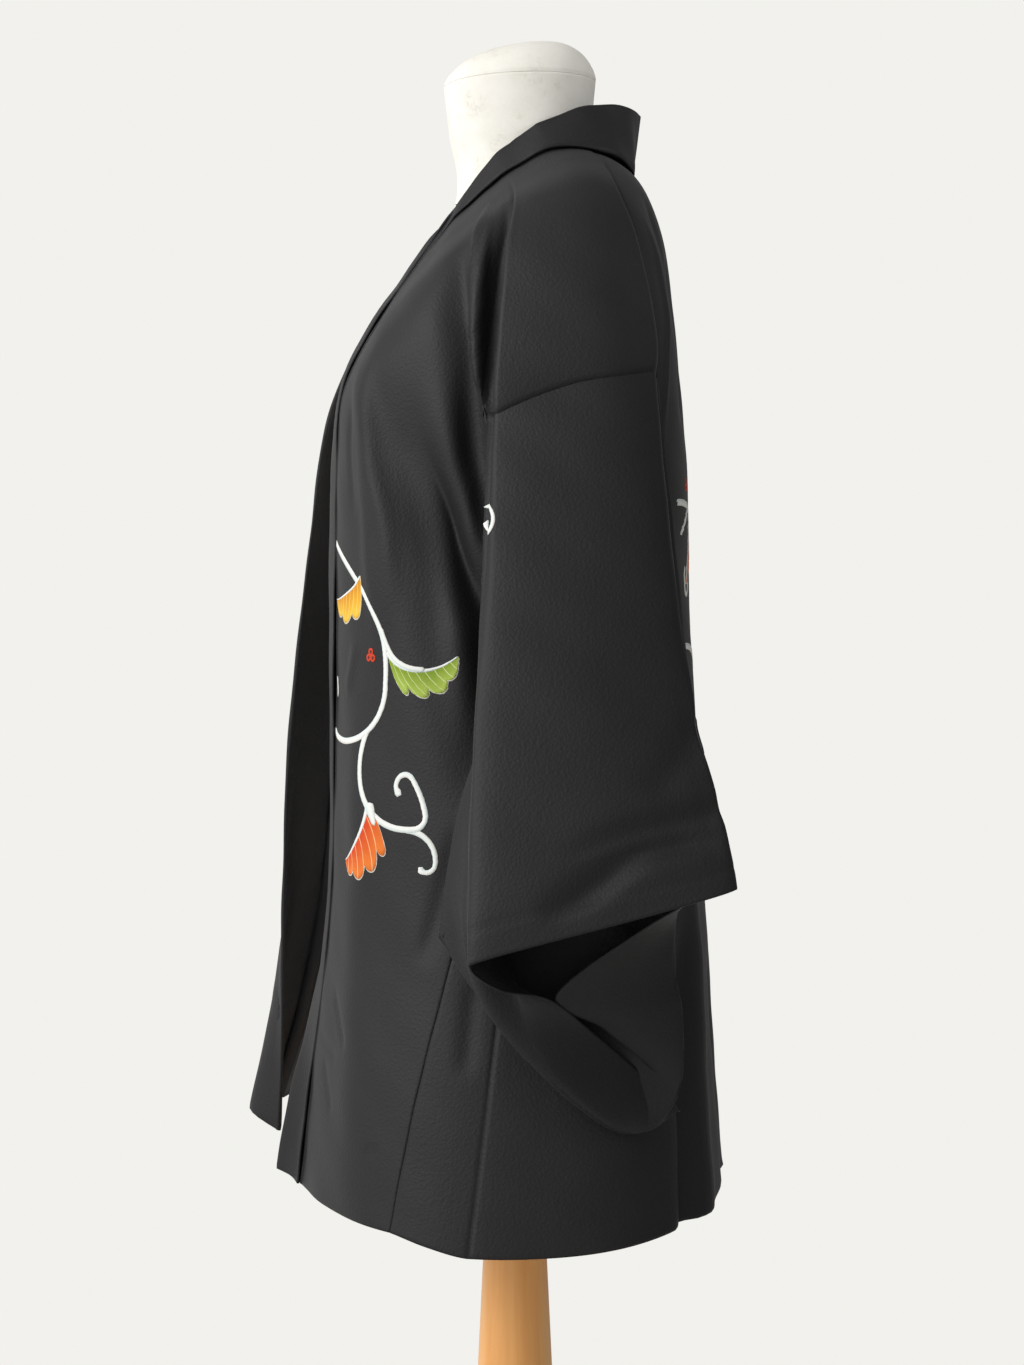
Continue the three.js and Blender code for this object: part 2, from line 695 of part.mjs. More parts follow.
const crepe = () => new THREE.MeshStandardMaterial({ color: 0x222225, roughness: 0.85, metalness: 0 });
const canvas = () => new THREE.MeshStandardMaterial({ color: 0xf1ede4, roughness: 0.9, metalness: 0 });
const beech = () => new THREE.MeshStandardMaterial({ color: 0xc99763, roughness: 0.45, metalness: 0 });

const haori = new THREE.Group();

function addPiece(name, geometry, material) {
  const piece = new THREE.Mesh(geometry, material);
  piece.name = name;
  haori.add(piece);
}

for (const [label, side] of [["left", 1], ["right", -1]]) {
  addPiece(`body_${label}`, bodyHalf(side), crepe());
  addPiece(`gusset_${label}`, gusset(side), crepe());
  addPiece(`sleeve_${label}`, sleeve(side), crepe());
}
addPiece("collar", collar(), crepe());
addPiece("form_torso", formTorso(), canvas());
addPiece("form_cap", formCap(), canvas());
addPiece("form_plate", formPlate(), beech());
addPiece("stand_pole", standPole(), beech());
addPiece("stand_base", standBase(), beech());

export default haori;
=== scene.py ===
import math

import bpy
import numpy as np
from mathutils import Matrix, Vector


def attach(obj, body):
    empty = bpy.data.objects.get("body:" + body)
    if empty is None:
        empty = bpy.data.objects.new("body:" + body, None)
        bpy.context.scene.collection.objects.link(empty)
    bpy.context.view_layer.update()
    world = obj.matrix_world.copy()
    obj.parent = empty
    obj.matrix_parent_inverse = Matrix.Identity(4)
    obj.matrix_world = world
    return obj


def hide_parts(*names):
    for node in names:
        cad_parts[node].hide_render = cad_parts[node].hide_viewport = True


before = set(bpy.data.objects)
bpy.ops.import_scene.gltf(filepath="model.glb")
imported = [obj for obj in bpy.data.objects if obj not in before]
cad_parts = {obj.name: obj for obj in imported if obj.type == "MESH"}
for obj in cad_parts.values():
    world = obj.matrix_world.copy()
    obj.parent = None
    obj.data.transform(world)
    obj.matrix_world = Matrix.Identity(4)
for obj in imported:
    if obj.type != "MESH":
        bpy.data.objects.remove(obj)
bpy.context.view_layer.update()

mm = 0.001  # sizes below are in millimetres, in the frame of the CAD model; meshes are in metres
seamGap = 0.45  # between two pieces that are sewn together
tiny = 0.001  # lets a place or row on a border count as reached


# The camera stands level at the wearer's left side, a little below the jacket's underarm.
pictureHeight = 1365  # the lens shifts are shares of it
cameraSetup = {
    "away": 2000, "height": 1040, "lens": 70.73,
    "shiftX": -3 / pictureHeight, "shiftY": -82.5 / pictureHeight,
}


def makeCamera():
    camera = bpy.data.objects.new("camera", bpy.data.cameras.new("camera"))
    bpy.context.collection.objects.link(camera)
    camera.location = (cameraSetup["away"] * mm, 0, cameraSetup["height"] * mm)
    camera.rotation_euler = (math.radians(90), 0, math.radians(90))
    camera.data.lens = cameraSetup["lens"]
    camera.data.shift_x = cameraSetup["shiftX"]
    camera.data.shift_y = cameraSetup["shiftY"]
    bpy.context.scene.camera = camera


makeCamera()


def tableOf(columns, rows):  # a short table, kept as one array for each named column
    names = columns.split()
    return {name: np.array([row[i] for row in rows], float) for i, name in enumerate(names)}


def smooth(x):
    x = np.clip(x, 0, 1)
    return x * x * (3 - 2 * x)


def unit(vectors):
    length = np.linalg.norm(vectors, axis=-1, keepdims=True)
    return vectors / np.where(length > 1e-9, length, 1)


def through(column, position, closed=False):  # Catmull-Rom through a column, at 0 .. len - 1
    position = np.asarray(position, float)
    count = len(column)
    i = np.floor(position).astype(int)
    if not closed:
        i = np.clip(i, 0, count - 2)
    t = position - i
    t = t.reshape(t.shape + (1,) * (column.ndim - 1))
    p0, p1, p2, p3 = (
        column[(i + k) % count] if closed else column[np.clip(i + k, 0, count - 1)] for k in (-1, 0, 1, 2)
    )
    square, cube = 2 * p0 - 5 * p1 + 4 * p2 - p3, 3 * p1 - p0 - 3 * p2 + p3
    return 0.5 * (2 * p1 + (p2 - p0) * t + square * t**2 + cube * t**3)


def steps(*stretches):  # (from, to, count) stretches joined into one rising list
    parts = [np.linspace(start, end, count, endpoint=False) for start, end, count in stretches]
    return np.concatenate(parts + [[stretches[-1][1]]])


def meshObject(name, points, faces, materials=(), faceMaterials=None, uv=None):
    mesh = bpy.data.meshes.new(name)
    mesh.from_pydata((np.asarray(points) * mm).tolist(), [], [list(face) for face in faces])
    mesh.polygons.foreach_set("use_smooth", [True] * len(mesh.polygons))
    for material in materials:
        mesh.materials.append(material)
    if faceMaterials is not None:
        mesh.polygons.foreach_set("material_index", list(faceMaterials))
    if uv is not None:
        layer = mesh.uv_layers.new(name="along")
        corners = np.empty(len(mesh.loops), int)
        mesh.loops.foreach_get("vertex_index", corners)
        layer.data.foreach_set("uv", np.asarray(uv, float)[corners].ravel())
    mesh.update()
    piece = bpy.data.objects.new(name, mesh)
    bpy.context.collection.objects.link(piece)
    return piece


def gridNormals(grid, kept, wrap, turned):
    rows, columns = grid.shape[:2]
    cells = columns if wrap else columns - 1
    here = np.arange(cells)
    after = (here + 1) % columns
    a, b, c, d = grid[:-1, here], grid[:-1, after], grid[1:, after], grid[1:, here]
    facing = unit(np.cross(c - a, d - b)) * kept[..., None] * (-1 if turned else 1)
    normal = np.zeros_like(grid)
    touching = np.zeros((rows, columns))
    for down in (0, 1):
        for side in (here, after):
            normal[down:rows - 1 + down, side] += facing
            touching[down:rows - 1 + down, side] += kept
    return unit(normal), touching


# A thin closed shell of cloth. Its outer face runs through the grid; its edges are turned in a
# little and are as thick as a folded seam or hem. Cells that are not kept leave an opening.
clothShell = {"thick": 0.85, "edge": 1.4, "sink": 0.35}


def makeShell(name, panel, material, edgeThick):
    grid, kept, wrap = panel["grid"], panel["kept"], panel["wrap"]
    rows, columns = grid.shape[:2]
    cells = columns if wrap else columns - 1
    normal, touching = gridNormals(grid, kept, wrap, panel["turned"])
    edge = touching < 4
    outer = grid - normal * (edge * clothShell["sink"])[..., None]
    inner = outer - normal * np.where(edge, edgeThick, clothShell["thick"])[..., None]
    count = rows * columns
    ids = np.arange(count).reshape(rows, columns)
    here = np.arange(cells)
    after = (here + 1) % columns
    a, b, c, d = ids[:-1, here], ids[:-1, after], ids[1:, after], ids[1:, here]
    above = np.vstack([np.zeros((1, cells), bool), kept[:-1]])
    below = np.vstack([kept[1:], np.zeros((1, cells), bool)])
    before, behind = np.roll(kept, 1, axis=1), np.roll(kept, -1, axis=1)
    if not wrap:
        before[:, 0] = False
        behind[:, -1] = False
    sides = [(kept, a, b, c, d), (kept, d + count, c + count, b + count, a + count)]
    for beside, start, end in ((above, b, a), (below, d, c), (before, a, d), (behind, c, b)):
        sides.append((kept & ~beside, start, end, end + count, start + count))
    faces = np.concatenate([np.stack([corner[mask] for corner in corners], -1) for mask, *corners in sides])
    points = np.concatenate([outer.reshape(-1, 3), inner.reshape(-1, 3)])
    if panel["turned"]:
        faces = faces[:, ::-1]
    used, faces = np.unique(faces, return_inverse=True)
    return meshObject(name, points[used], faces.reshape(-1, 4), [material])


def solidRings(name, rings, material):  # a closed solid from rings of points, capped with fans
    count = len(rings[0])
    points = np.concatenate(list(rings) + [rings[0].mean(0)[None], rings[-1].mean(0)[None]])
    faces = []
    for j in range(len(rings) - 1):
        for i in range(count):
            k = (i + 1) % count
            faces.append([j * count + k, j * count + i, (j + 1) * count + i, (j + 1) * count + k])
    top = len(rings) * count
    last = (len(rings) - 1) * count
    for i in range(count):
        k = (i + 1) % count
        faces.append([top, i, k])
        faces.append([top + 1, last + k, last + i])
    return meshObject(name, points, faces, [material])


def colour(code):  # an sRGB hex value as the linear colour that a shader takes
    parts = [int(code[i:i + 2], 16) / 255 for i in (1, 3, 5)]
    return [part / 12.92 if part <= 0.04045 else ((part + 0.055) / 1.055) ** 2.4 for part in parts] + [1]


# An input is a value, a socket, or a node, of which the first output is taken. A ramp's stops are
# (position, hex colour).
def addNode(owner, kind, inputs=None, stops=(), **settings):
    tree = owner.node_tree
    node = tree.nodes.new("ShaderNode" + kind)
    for name, value in settings.items():
        setattr(node, name, value)
    for name, value in (inputs or {}).items():
        if isinstance(value, bpy.types.Node):
            value = value.outputs[0]
        if isinstance(value, bpy.types.NodeSocket):
            tree.links.new(value, node.inputs[name])
        else:
            node.inputs[name].default_value = value
    for i, (position, code) in enumerate(stops):
        element = node.color_ramp.elements[i] if i < 2 else node.color_ramp.elements.new(position)
        element.position, element.color = position, colour(code)
    return node


def newMaterial(name):
    material = bpy.data.materials.new(name)
    material.use_nodes = True
    material.node_tree.nodes.clear()
    return material


def giveFinish(material, shader):
    addNode(material, "OutputMaterial", {"Surface": addNode(material, "BsdfPrincipled", shader)})
    return material


crepeLook = {
    "dark": "#0e0d10", "light": "#18171b",
    "pebble": 1.5,  # twisted weft threads pull up pebbles of about 0.7 mm; drawn twice as coarse
    "mottle": 38,
    "relief": 0.4,
}


def silkCrepe():  # chirimen: matt black, broken by a fine pebble, with a soft sheen at the edges
    material = newMaterial("chirimen silk crepe")
    place = addNode(material, "TexCoord").outputs["Object"]
    pebbles = addNode(material, "TexNoise", {
        "Vector": place, "Scale": 1 / (crepeLook["pebble"] * mm), "Detail": 3.0, "Roughness": 0.62,
    })
    twist = addNode(material, "TexVoronoi", {
        "Vector": place, "Scale": 1 / (crepeLook["pebble"] * 1.3 * mm), "Randomness": 1.0,
    }, feature="SMOOTH_F1")
    mottle = addNode(material, "TexNoise", {
        "Vector": place, "Scale": 1 / (crepeLook["mottle"] * mm), "Detail": 4.0, "Roughness": 0.6,
    })
    relief = addNode(material, "Math", {0: pebbles, 1: twist}, operation="ADD")
    tone = addNode(material, "Math", {0: mottle, 1: 0.45}, operation="MULTIPLY")
    speck = addNode(material, "Math", {0: pebbles, 1: 0.55, 2: tone}, operation="MULTIPLY_ADD")
    stops = [(0.32, crepeLook["dark"]), (0.68, crepeLook["light"])]
    return giveFinish(material, {
        "Roughness": 0.6, "IOR": 1.54, "Specular IOR Level": 0.38,
        "Sheen Weight": 0.05, "Sheen Roughness": 0.35, "Sheen Tint": colour("#cfccd8"),
        "Base Color": addNode(material, "ValToRGB", {"Fac": speck}, stops),
        "Normal": addNode(material, "Bump", {
            "Height": relief, "Strength": 0.5, "Distance": crepeLook["relief"] * mm,
        }),
    })


def coverCanvas():  # off-white cotton canvas stretched on the form: dry, chalky, faintly fibrous
    material = newMaterial("stretched cotton canvas")
    place = addNode(material, "TexCoord").outputs["Object"]
    fibre = addNode(material, "TexNoise", {
        "Vector": place, "Scale": 1 / (2.2 * mm), "Detail": 5.0, "Roughness": 0.7,
    })
    cloud = addNode(material, "TexNoise", {
        "Vector": place, "Scale": 1 / (26 * mm), "Detail": 5.0, "Roughness": 0.65,
    })
    both = addNode(material, "Math", {0: fibre, 1: 0.4, 2: cloud}, operation="MULTIPLY_ADD")
    stops = [(0.45, "#ddd8ce"), (0.62, "#f1eee6"), (0.85, "#f7f4ee")]
    return giveFinish(material, {
        "Roughness": 0.88, "IOR": 1.5, "Specular IOR Level": 0.25,
        "Sheen Weight": 0.1, "Sheen Roughness": 0.5,
        "Base Color": addNode(material, "ValToRGB", {"Fac": both}, stops),
        "Normal": addNode(material, "Bump", {"Height": fibre, "Strength": 0.35, "Distance": 0.25 * mm}),
    })


def turnedBeech():  # steamed beech under clear varnish: honey brown, long fine grain, soft gloss
    material = newMaterial("varnished beech")
    place = addNode(material, "TexCoord").outputs["Object"]
    along = addNode(material, "Mapping", {"Vector": place, "Scale": (1, 1, 0.06)})
    grain = addNode(material, "TexNoise", {
        "Vector": along, "Scale": 1 / (4 * mm), "Detail": 6.0, "Roughness": 0.6,
    })
    rings = addNode(material, "TexNoise", {"Vector": along, "Scale": 1 / (22 * mm), "Detail": 2.0})
    both = addNode(material, "Math", {0: grain, 1: 0.6, 2: rings}, operation="MULTIPLY_ADD")
    stops = [(0.4, "#f0a65c"), (0.8, "#fcb86c"), (1.0, "#fcc480")]
    return giveFinish(material, {
        "Roughness": 0.42, "IOR": 1.5, "Coat Weight": 0.25, "Coat Roughness": 0.25,
        "Base Color": addNode(material, "ValToRGB", {"Fac": both}, stops),
        "Normal": addNode(material, "Bump", {"Height": grain, "Strength": 0.15, "Distance": 0.2 * mm}),
    })


def paint(name, near, far, vein=None, veins=5):  # pigment laid on the silk, shaded from stem to rim
    material = newMaterial(name)
    place = addNode(material, "TexCoord").outputs["UV"]
    parts = addNode(material, "SeparateXYZ", {"Vector": place})
    cloud = addNode(material, "TexNoise", {"Vector": place, "Scale": 7.0, "Detail": 2.0})
    drift = {0: cloud, 1: 0.3, 2: parts.outputs["Y"]}
    drift = addNode(material, "Math", drift, operation="MULTIPLY_ADD")
    shade = addNode(material, "ValToRGB", {"Fac": drift}, [(0.2, near), (1.0, far)])
    if vein:
        turn = addNode(material, "Math", {0: parts, 1: math.pi * veins}, operation="MULTIPLY")
        wave = addNode(material, "Math", {0: turn}, operation="SINE")
        line = addNode(material, "Math", {0: wave}, operation="ABSOLUTE")
        thin = addNode(material, "MapRange", {
            "Value": line, "From Min": 0.05, "From Max": 0.2, "To Min": 1.0, "To Max": 0.0,
        })
        mix = {"Factor": thin, 6: shade, 7: colour(vein)}
        shade = addNode(material, "Mix", mix, data_type="RGBA").outputs[2]
    return giveFinish(material, {
        "Roughness": 0.7, "IOR": 1.5, "Specular IOR Level": 0.25, "Base Color": shade,
    })


crepe, canvas, beech = silkCrepe(), coverCanvas(), turnedBeech()
paints = {
    "white": paint("white pigment", "#e4eeec", "#f6f5f1"),
    "line": paint("white outline", "#f2efe6", "#f6f3ea"),
    "green": paint("green pigment", "#7f9a28", "#a9c053", "#dbe2a4", 9),
    "yellow": paint("yellow pigment", "#d68c10", "#efc03c", "#f7dd8e", 9),
    "orange": paint("orange pigment", "#d5441a", "#e87a30", "#f8c592", 7),
    "red": paint("vermilion pigment", "#cf3722", "#dd4a2a"),
    "dark": paint("umber pigment", "#5a2a20", "#6b3325"),
}
paintOrder = list(paints)


# One row for each level, from the neck opening down to the hem. edgeX, edgeY and low place the front
# edge; high is the height of the centre back, and lift how far the side is raised between the two.
# half is half the width, middle the depth y where it is widest and back the depth of the centre back;
# square and squareBack say how boxy the front and the back are. fore and aft are the depths of the
# flap's edges, or of the gusset's seams below it; rise is how far the flap stands out and foot how
# long its slope is.
bodyRows = tableOf("edgeX edgeY low high lift half middle back square squareBack fore aft rise foot", [
    [57, -45, 1318, 1357, 24, 66, 22, 80, 4.4, 2.1, -8, 52, 0, 4],
    [60, -78, 1272, 1334, 38, 111, 28, 98, 3, 2.3, 1, 60, 1, 5],
    [61, -108, 1226, 1298, 50, 148, 30, 108, 2.9, 2.7, 1.5, 68, 8, 6],
    [61, -125, 1186, 1256, 42, 167, 32, 114, 2.8, 3.2, -5, 82, 17, 7],
    [61, -128, 1128, 1200, 3, 177, 35, 119.5, 2.7, 3.6, -11, 92, 23, 6],
    [62, -128.5, 1070, 1118, 0, 178, 28, 126.5, 2.6, 3.2, 1, 56, 0, 4],
    [64, -129, 1010, 1030, 0, 177, 22, 128.5, 2.5, 2.7, 9, 23, 0, 0],
    [66, -129.5, 905, 920, 0, 182, 20, 134.5, 2.5, 2.7, -16, 8, 0, 0],
    [66, -131, 807, 820, -5, 193, 18, 139.5, 2.5, 2.7, -40, -6, 0, 0],
    [64, -133, 711, 728, -13, 213, 16, 144.5, 2.6, 2.8, -65, -19, 0, 0],
    [62, -136, 611, 638, -17, 233, 14, 151.5, 2.7, 2.9, -84, -32, 0, 0],
])
# The right front hangs further forward and flares at the hem.
rightEdges = tableOf("edgeX edgeY low", [
    [57, -45, 1318],
    [60, -80, 1272],
    [61, -110, 1226],
    [63, -127, 1186],
    [66, -131, 1128],
    [68, -132, 1070],
    [70, -133, 1010],
    [72, -136, 905],
    [75, -143, 808],
    [83, -160, 718],
    [92, -182, 646],
])
hemRise = np.array([7, 8, 9, 9, 9, 4, -1, -1, -1, -6, -2], float)  # of the hem, at every half place
flapRow = 4  # the shoulder's flap ends here, at the sleeve seam
underarmRow = 6  # the gusset starts here
hemRow = 10
clothRadius = 165  # turns degrees round the body into mm

# Folds run from row "top" to row "foot" while their turn goes from "start" to "end".
foldColumns = "top foot start end depth width"
folds = {
    1: tableOf(foldColumns, [
        [0.9, 5.2, -22.6, -17, 6, 4],
        [1.7, 5.0, -27.5, -23, -4, 8],
        [1.9, 6.2, -29, -14, -4, 11],
        [2.4, 6.4, -54, -43, 4, 11],
        [3.0, 7.2, -49, -22, -7, 15],
        [6.2, 10.4, -52, -47, 4, 22],
        [7.9, 11, 47, 40, -9, 6],
        [7.4, 11, 55, 47, 6, 11],
        [8.2, 11, 72, 66, -5, 9],
        [2.4, 4.9, 62, 60, -3.5, 9],
    ]),
    -1: tableOf(foldColumns, [
        [0.9, 5.0, -27, -19, 6, 4.5],
        [1.3, 4.8, -33, -26, -4, 8],
        [2.2, 6.6, -45, -24, -6, 14],
        [2.8, 6.2, -56, -48, 4, 12],
        [6.0, 10.2, -48, -52, -5, 18],
        [7.6, 11, 50, 44, -12, 8],
        [7.2, 11, 60, 53, 5, 12],
        [2.5, 4.7, 60, 57, -3, 10],
    ]),
}


def sectionPoint(section, turn):  # on a level; turn is -90 at centre front, 0 at the side, 90 behind
    c, s = np.cos(np.radians(turn)), np.sin(np.radians(turn))
    power = np.where(s < 0, section["square"], section["squareBack"])
    reach = (np.abs(c) ** power + np.abs(s) ** power) ** (-1 / power)
    x = section["half"] * reach * c
    depth = np.where(s < 0, section["middle"] - section["front"], section["back"] - section["middle"])
    y = section["middle"] + depth * reach * s
    limit = np.where(s < 0, section["edgeTurn"], 90)
    sideways = np.cos(np.radians(90 * np.clip(turn / limit, 0, 1))) ** 2
    share = (y - section["edgeY"]) / (section["back"] - section["edgeY"])
    z = section["low"] + (section["high"] - section["low"]) * share + section["lift"] * sideways
    return x, y, z


def turnAtDepth(section, depth):  # where a section reaches a depth y, near its side
    low, high = np.full(np.shape(depth), -89.0), np.full(np.shape(depth), 89.0)
    for _ in range(30):
        turn = (low + high) / 2
        short = sectionPoint(section, turn)[1] < depth
        low, high = np.where(short, turn, low), np.where(short, high, turn)
    return (low + high) / 2


def bodySection(side, row):
    section = {name: through(column, row) for name, column in bodyRows.items()}
    if side < 0:
        section.update({name: through(column, row) for name, column in rightEdges.items()})
    square = section["square"]
    share = (1 - (section["edgeX"] / section["half"]) ** square) ** (1 / square)
    section["front"] = section["middle"] - (section["middle"] - section["edgeY"]) / share
    section["edgeTurn"] = -np.degrees(np.arctan2(share, section["edgeX"] / section["half"]))
    return section


def foldHeight(side, row, turn):
    height = 0
    table = folds[side]
    for top, foot, start, end, depth, width in zip(*(table[name] for name in foldColumns.split())):
        along = (row - top) / (foot - top)
        away = np.radians(turn - (start + (end - start) * along)) * clothRadius
        ends = smooth(along * 4) * smooth((1 - along) * 3)
        height = height + depth * ends * np.exp(-((away / width) ** 2))
    return height


bodyShape = {
    "lip": 8.5,  # how far the flap's edge leans over the valley beside it
    "arch": 4.7,  # how far the sleeve seam arches up towards the front
    "flare": 20,  # how far the left front edge swings forward at the hem, beyond the section
    "neck": 4,  # how far the shoulder rises beside the neck
}


# place: 0 front edge, 1 foot of the flap or front gusset seam, 2 and 3 the flap's two edges,
# 4 foot of the flap behind or back gusset seam, 5 centre back.
def bodyPoint(side, place, row):
    place, row = np.asarray(place, float), np.asarray(row, float)
    section = bodySection(side, row)
    fore, aft, foot = section["fore"], section["aft"], section["foot"]
    depths = (fore - foot, fore, aft, aft + foot)
    stops = [section["edgeTurn"]] + [turnAtDepth(section, depth) for depth in depths] + [90]
    turn = stops[0]
    for k in range(5):  # runs on past the first and the last stop
        share = np.clip(place - k, -1 if k == 0 else 0, 2 if k == 4 else 1)
        turn = turn + share * (stops[k + 1] - stops[k])
    x, y, z = sectionPoint(section, turn)
    outX = x / section["half"] ** 2
    outY = (y - section["middle"]) / (section["back"] - section["middle"]) ** 2
    length = np.hypot(outX, outY)
    outX, outY = outX / length, outY / length
    flap = row <= flapRow + tiny
    onFlap = np.where(flap, smooth(place - 1) * smooth(4 - place), 0)
    height = foldHeight(side, row, turn) * (1 - onFlap)
    wide = np.maximum(x + outX * height + section["rise"] * onFlap, seamGap / 2)
    ahead = place < 2.5
    step = np.clip(np.where(ahead, place - 1, 4 - place), 0, 1)  # across the flap's front or back edge
    lean = np.where(flap, np.sin(2 * np.pi * step), 0) * np.where(ahead, 1, -1)
    lean = lean * np.where(step < 0.5, 1, 0.25) * bodyShape["lip"] * np.minimum(1, section["rise"] / 14)
    rise = through(hemRise, np.clip(place, 0, 5) * 2) * smooth((row - 8) / 2)
    beside = smooth(place / 0.8) * smooth((3.4 - place) / 1.2)
    rise = rise + bodyShape["neck"] * smooth(1 - row / 1.4) * beside
    along = np.clip(place - 2, 0, 1)
    arch = 6.75 * along * (1 - along) ** 2  # 1 where it is highest
    rise = rise + bodyShape["arch"] * arch * smooth((row - 2.4) / 1.6) * smooth((5.6 - row) / 1.6)
    swing = np.clip(1 - place, 0, 1) ** 1.6 * smooth((row - 7.4) / 3)
    y = y + outY * height + lean - (bodyShape["flare"] if side > 0 else 0) * swing
    return np.stack(np.broadcast_arrays(side * wide, y, z + rise), -1)


# A panel is a grid of points on the outer face of a piece, with the numbers that its columns and
# rows stand for, so that creases and painting can be placed on it by those numbers.
def makePanel(grid, across, down, wrap=False, turned=False):
    return {
        "grid": grid, "across": across, "down": down, "wrap": wrap, "turned": turned,
        "kept": np.ones((len(down) - 1, len(across) - (0 if wrap else 1)), bool),
        "relief": np.zeros(grid.shape[:2]),
    }


def setNormals(panel):
    panel["normal"] = gridNormals(panel["grid"], panel["kept"], panel["wrap"], panel["turned"])[0]


def pointsAt(panel, across, down, values=None):  # the grid, or values on it, at places on a panel
    values = panel["grid"] if values is None else values
    rows, columns = values.shape[:2]
    if panel["wrap"]:
        way = np.append(panel["across"] % sleeveRound, sleeveRound)
        i = np.interp(np.asarray(across) % sleeveRound, way, np.arange(columns + 1))
        i = np.minimum(i, columns - 1e-6)
    else:
        i = np.clip(np.interp(across, panel["across"], np.arange(columns)), 0, columns - 1.000001)
    j = np.clip(np.interp(down, panel["down"], np.arange(rows)), 0, rows - 1.000001)
    i0, j0 = i.astype(int), j.astype(int)
    i1 = (i0 + 1) % columns
    u, v = (i - i0)[..., None], (j - j0)[..., None]
    upper = values[j0, i0] * ((1 - u) * (1 - v)) + values[j0, i1] * (u * (1 - v))
    return upper + values[j0 + 1, i1] * (u * v) + values[j0 + 1, i0] * ((1 - u) * v)


# A soft trough (depth less than nothing) or ridge along a path of (across, down) places. width is
# in mm to each side, and steep multiplies it on the left of the path; fade is how much of the length
# each end takes to die away, 0 where it runs off the cloth.
def crease(panel, path, depth, width, steep=1.0, fade=(0.3, 0.3)):
    knots = np.array(path, float)
    line = through(knots, np.linspace(0, len(knots) - 1, 10 * (len(knots) - 1) + 1))
    line = pointsAt(panel, line[:, 0], line[:, 1])
    grid = panel["grid"]
    near = ((grid > line.min(0) - 2.6 * width) & (grid < line.max(0) + 2.6 * width)).all(-1)
    points = grid[near]
    start, run = line[:-1], np.diff(line, axis=0)
    gap = points[:, None] - start
    share = np.clip((gap * run).sum(-1) / np.maximum((run * run).sum(-1), 1e-9), 0, 1)
    apart = gap - run * share[..., None]
    distance = (apart**2).sum(-1)
    nearest = distance.argmin(1)
    pick = np.arange(len(points)), nearest
    along = (nearest + share[pick]) / len(run)
    side = (np.cross(run[nearest], apart[pick]) * panel["normal"][near]).sum(-1)
    wide = np.where(side > 0, width * steep, width)
    ends = smooth(along / max(fade[0], 1e-6)) * smooth((1 - along) / max(fade[1], 1e-6))
    panel["relief"][near] += depth * ends * np.exp(-distance[pick] / wide**2)


# The cloth never lies quite even: long, shallow swells run on from piece to piece. Each has its
# height and length in mm, how much it slants and where it starts.
swells = [(0.31, 74, 0.35, 1.3), (0.24, 131, -0.5, 4.1), (0.2, 53, 0.9, 2.2), (0.34, 190, 0.1, 0.4)]


def unevenness(points):
    turn = np.arctan2(points[..., 1], points[..., 0]) * 150  # mm round the body
    height = 0
    for size, length, slant, start in swells:
        wave = (turn + slant * points[..., 2]) / length * math.tau + start
        height = height + size * np.sin(wave + 1.3 * np.sin(points[..., 2] / 83 + start * 2))
    return height


def settle(panel):  # takes up the creases; the panel can be painted after this
    height = panel["relief"] + unevenness(panel["grid"])
    panel["grid"] = panel["grid"] + panel["normal"] * height[..., None]
    setNormals(panel)


bodyAcross = steps((0, 1, 76), (1, 2, 16), (2, 3, 24), (3, 4, 16), (4, 5, 60))
bodyDown = steps((0, flapRow, 62), (flapRow, underarmRow, 36), (underarmRow, hemRow, 106))


def facing(side, place, row, here):  # the way round the body and straight out of it, at a point
    sideways = bodyPoint(side, place + 0.02, row) - here
    downwards = bodyPoint(side, place, np.asarray(row) + 0.05) - here
    return unit(sideways), unit(np.cross(downwards, sideways) * side)


def inwards(side, place, row, inset):  # a point on the body's surface, moved in under it
    here = bodyPoint(side, place, row)
    return here - facing(side, place, row, here)[1] * inset


def bodyPanel(side):
    inner = bodyPoint(side, bodyAcross[None, :], bodyDown[:, None])
    # The seam allowance runs on into the collar band, along the front edge and round the neck. It is
    # the first column and the first row, at places of its own just before 0.
    upTo = neckStart + 1
    front = allowance(side, np.interp(-bodyDown, -tables[side]["row"][:upTo], range(upTo)))
    neck = tables[side]["place"][neckStart:]
    neck = allowance(side, np.interp(bodyAcross, neck, range(neckStart, centreBack + 1)))
    grid = np.concatenate([np.vstack([neck[:1], front])[:, None], np.concatenate([neck[None], inner])], 1)
    across, down = np.append(-0.03, bodyAcross), np.append(-0.06, bodyDown)
    panel = makePanel(grid, across, down, turned=side > 0)
    onFlap = (across[:-1] > 1 - tiny) & (across[:-1] < 4 - tiny)
    panel["kept"] = ~(onFlap[None, :] & (down[:-1, None] > flapRow - tiny))
    return panel


def gussetPanel(side):
    down = steps((underarmRow + 0.05, hemRow, 110))
    fore, aft = bodyPoint(side, 2, down), bodyPoint(side, 3, down)
    edge = 1.4 * seamGap / np.hypot(*(aft - fore)[:, :2].T)  # the gap, as a share of the gusset's width
    share = np.linspace(0, 1, 17)
    place = (2 + edge)[:, None] + (1 - 2 * edge)[:, None] * share
    grid = bodyPoint(side, place, down[:, None])
    tucked = ((0.966, 2.2), (0.99, 2), (4.01, 2), (4.034, 2.2))  # place under the body, and how deep
    under = [inwards(side, place, down, inset) for place, inset in tucked]
    grid = np.concatenate([np.stack(under[:2], 1), grid, np.stack(under[2:], 1)], 1)
    across = np.concatenate([[-0.2, -0.06], share, [1.06, 1.2]])
    return makePanel(grid, across, down, turned=side > 0)


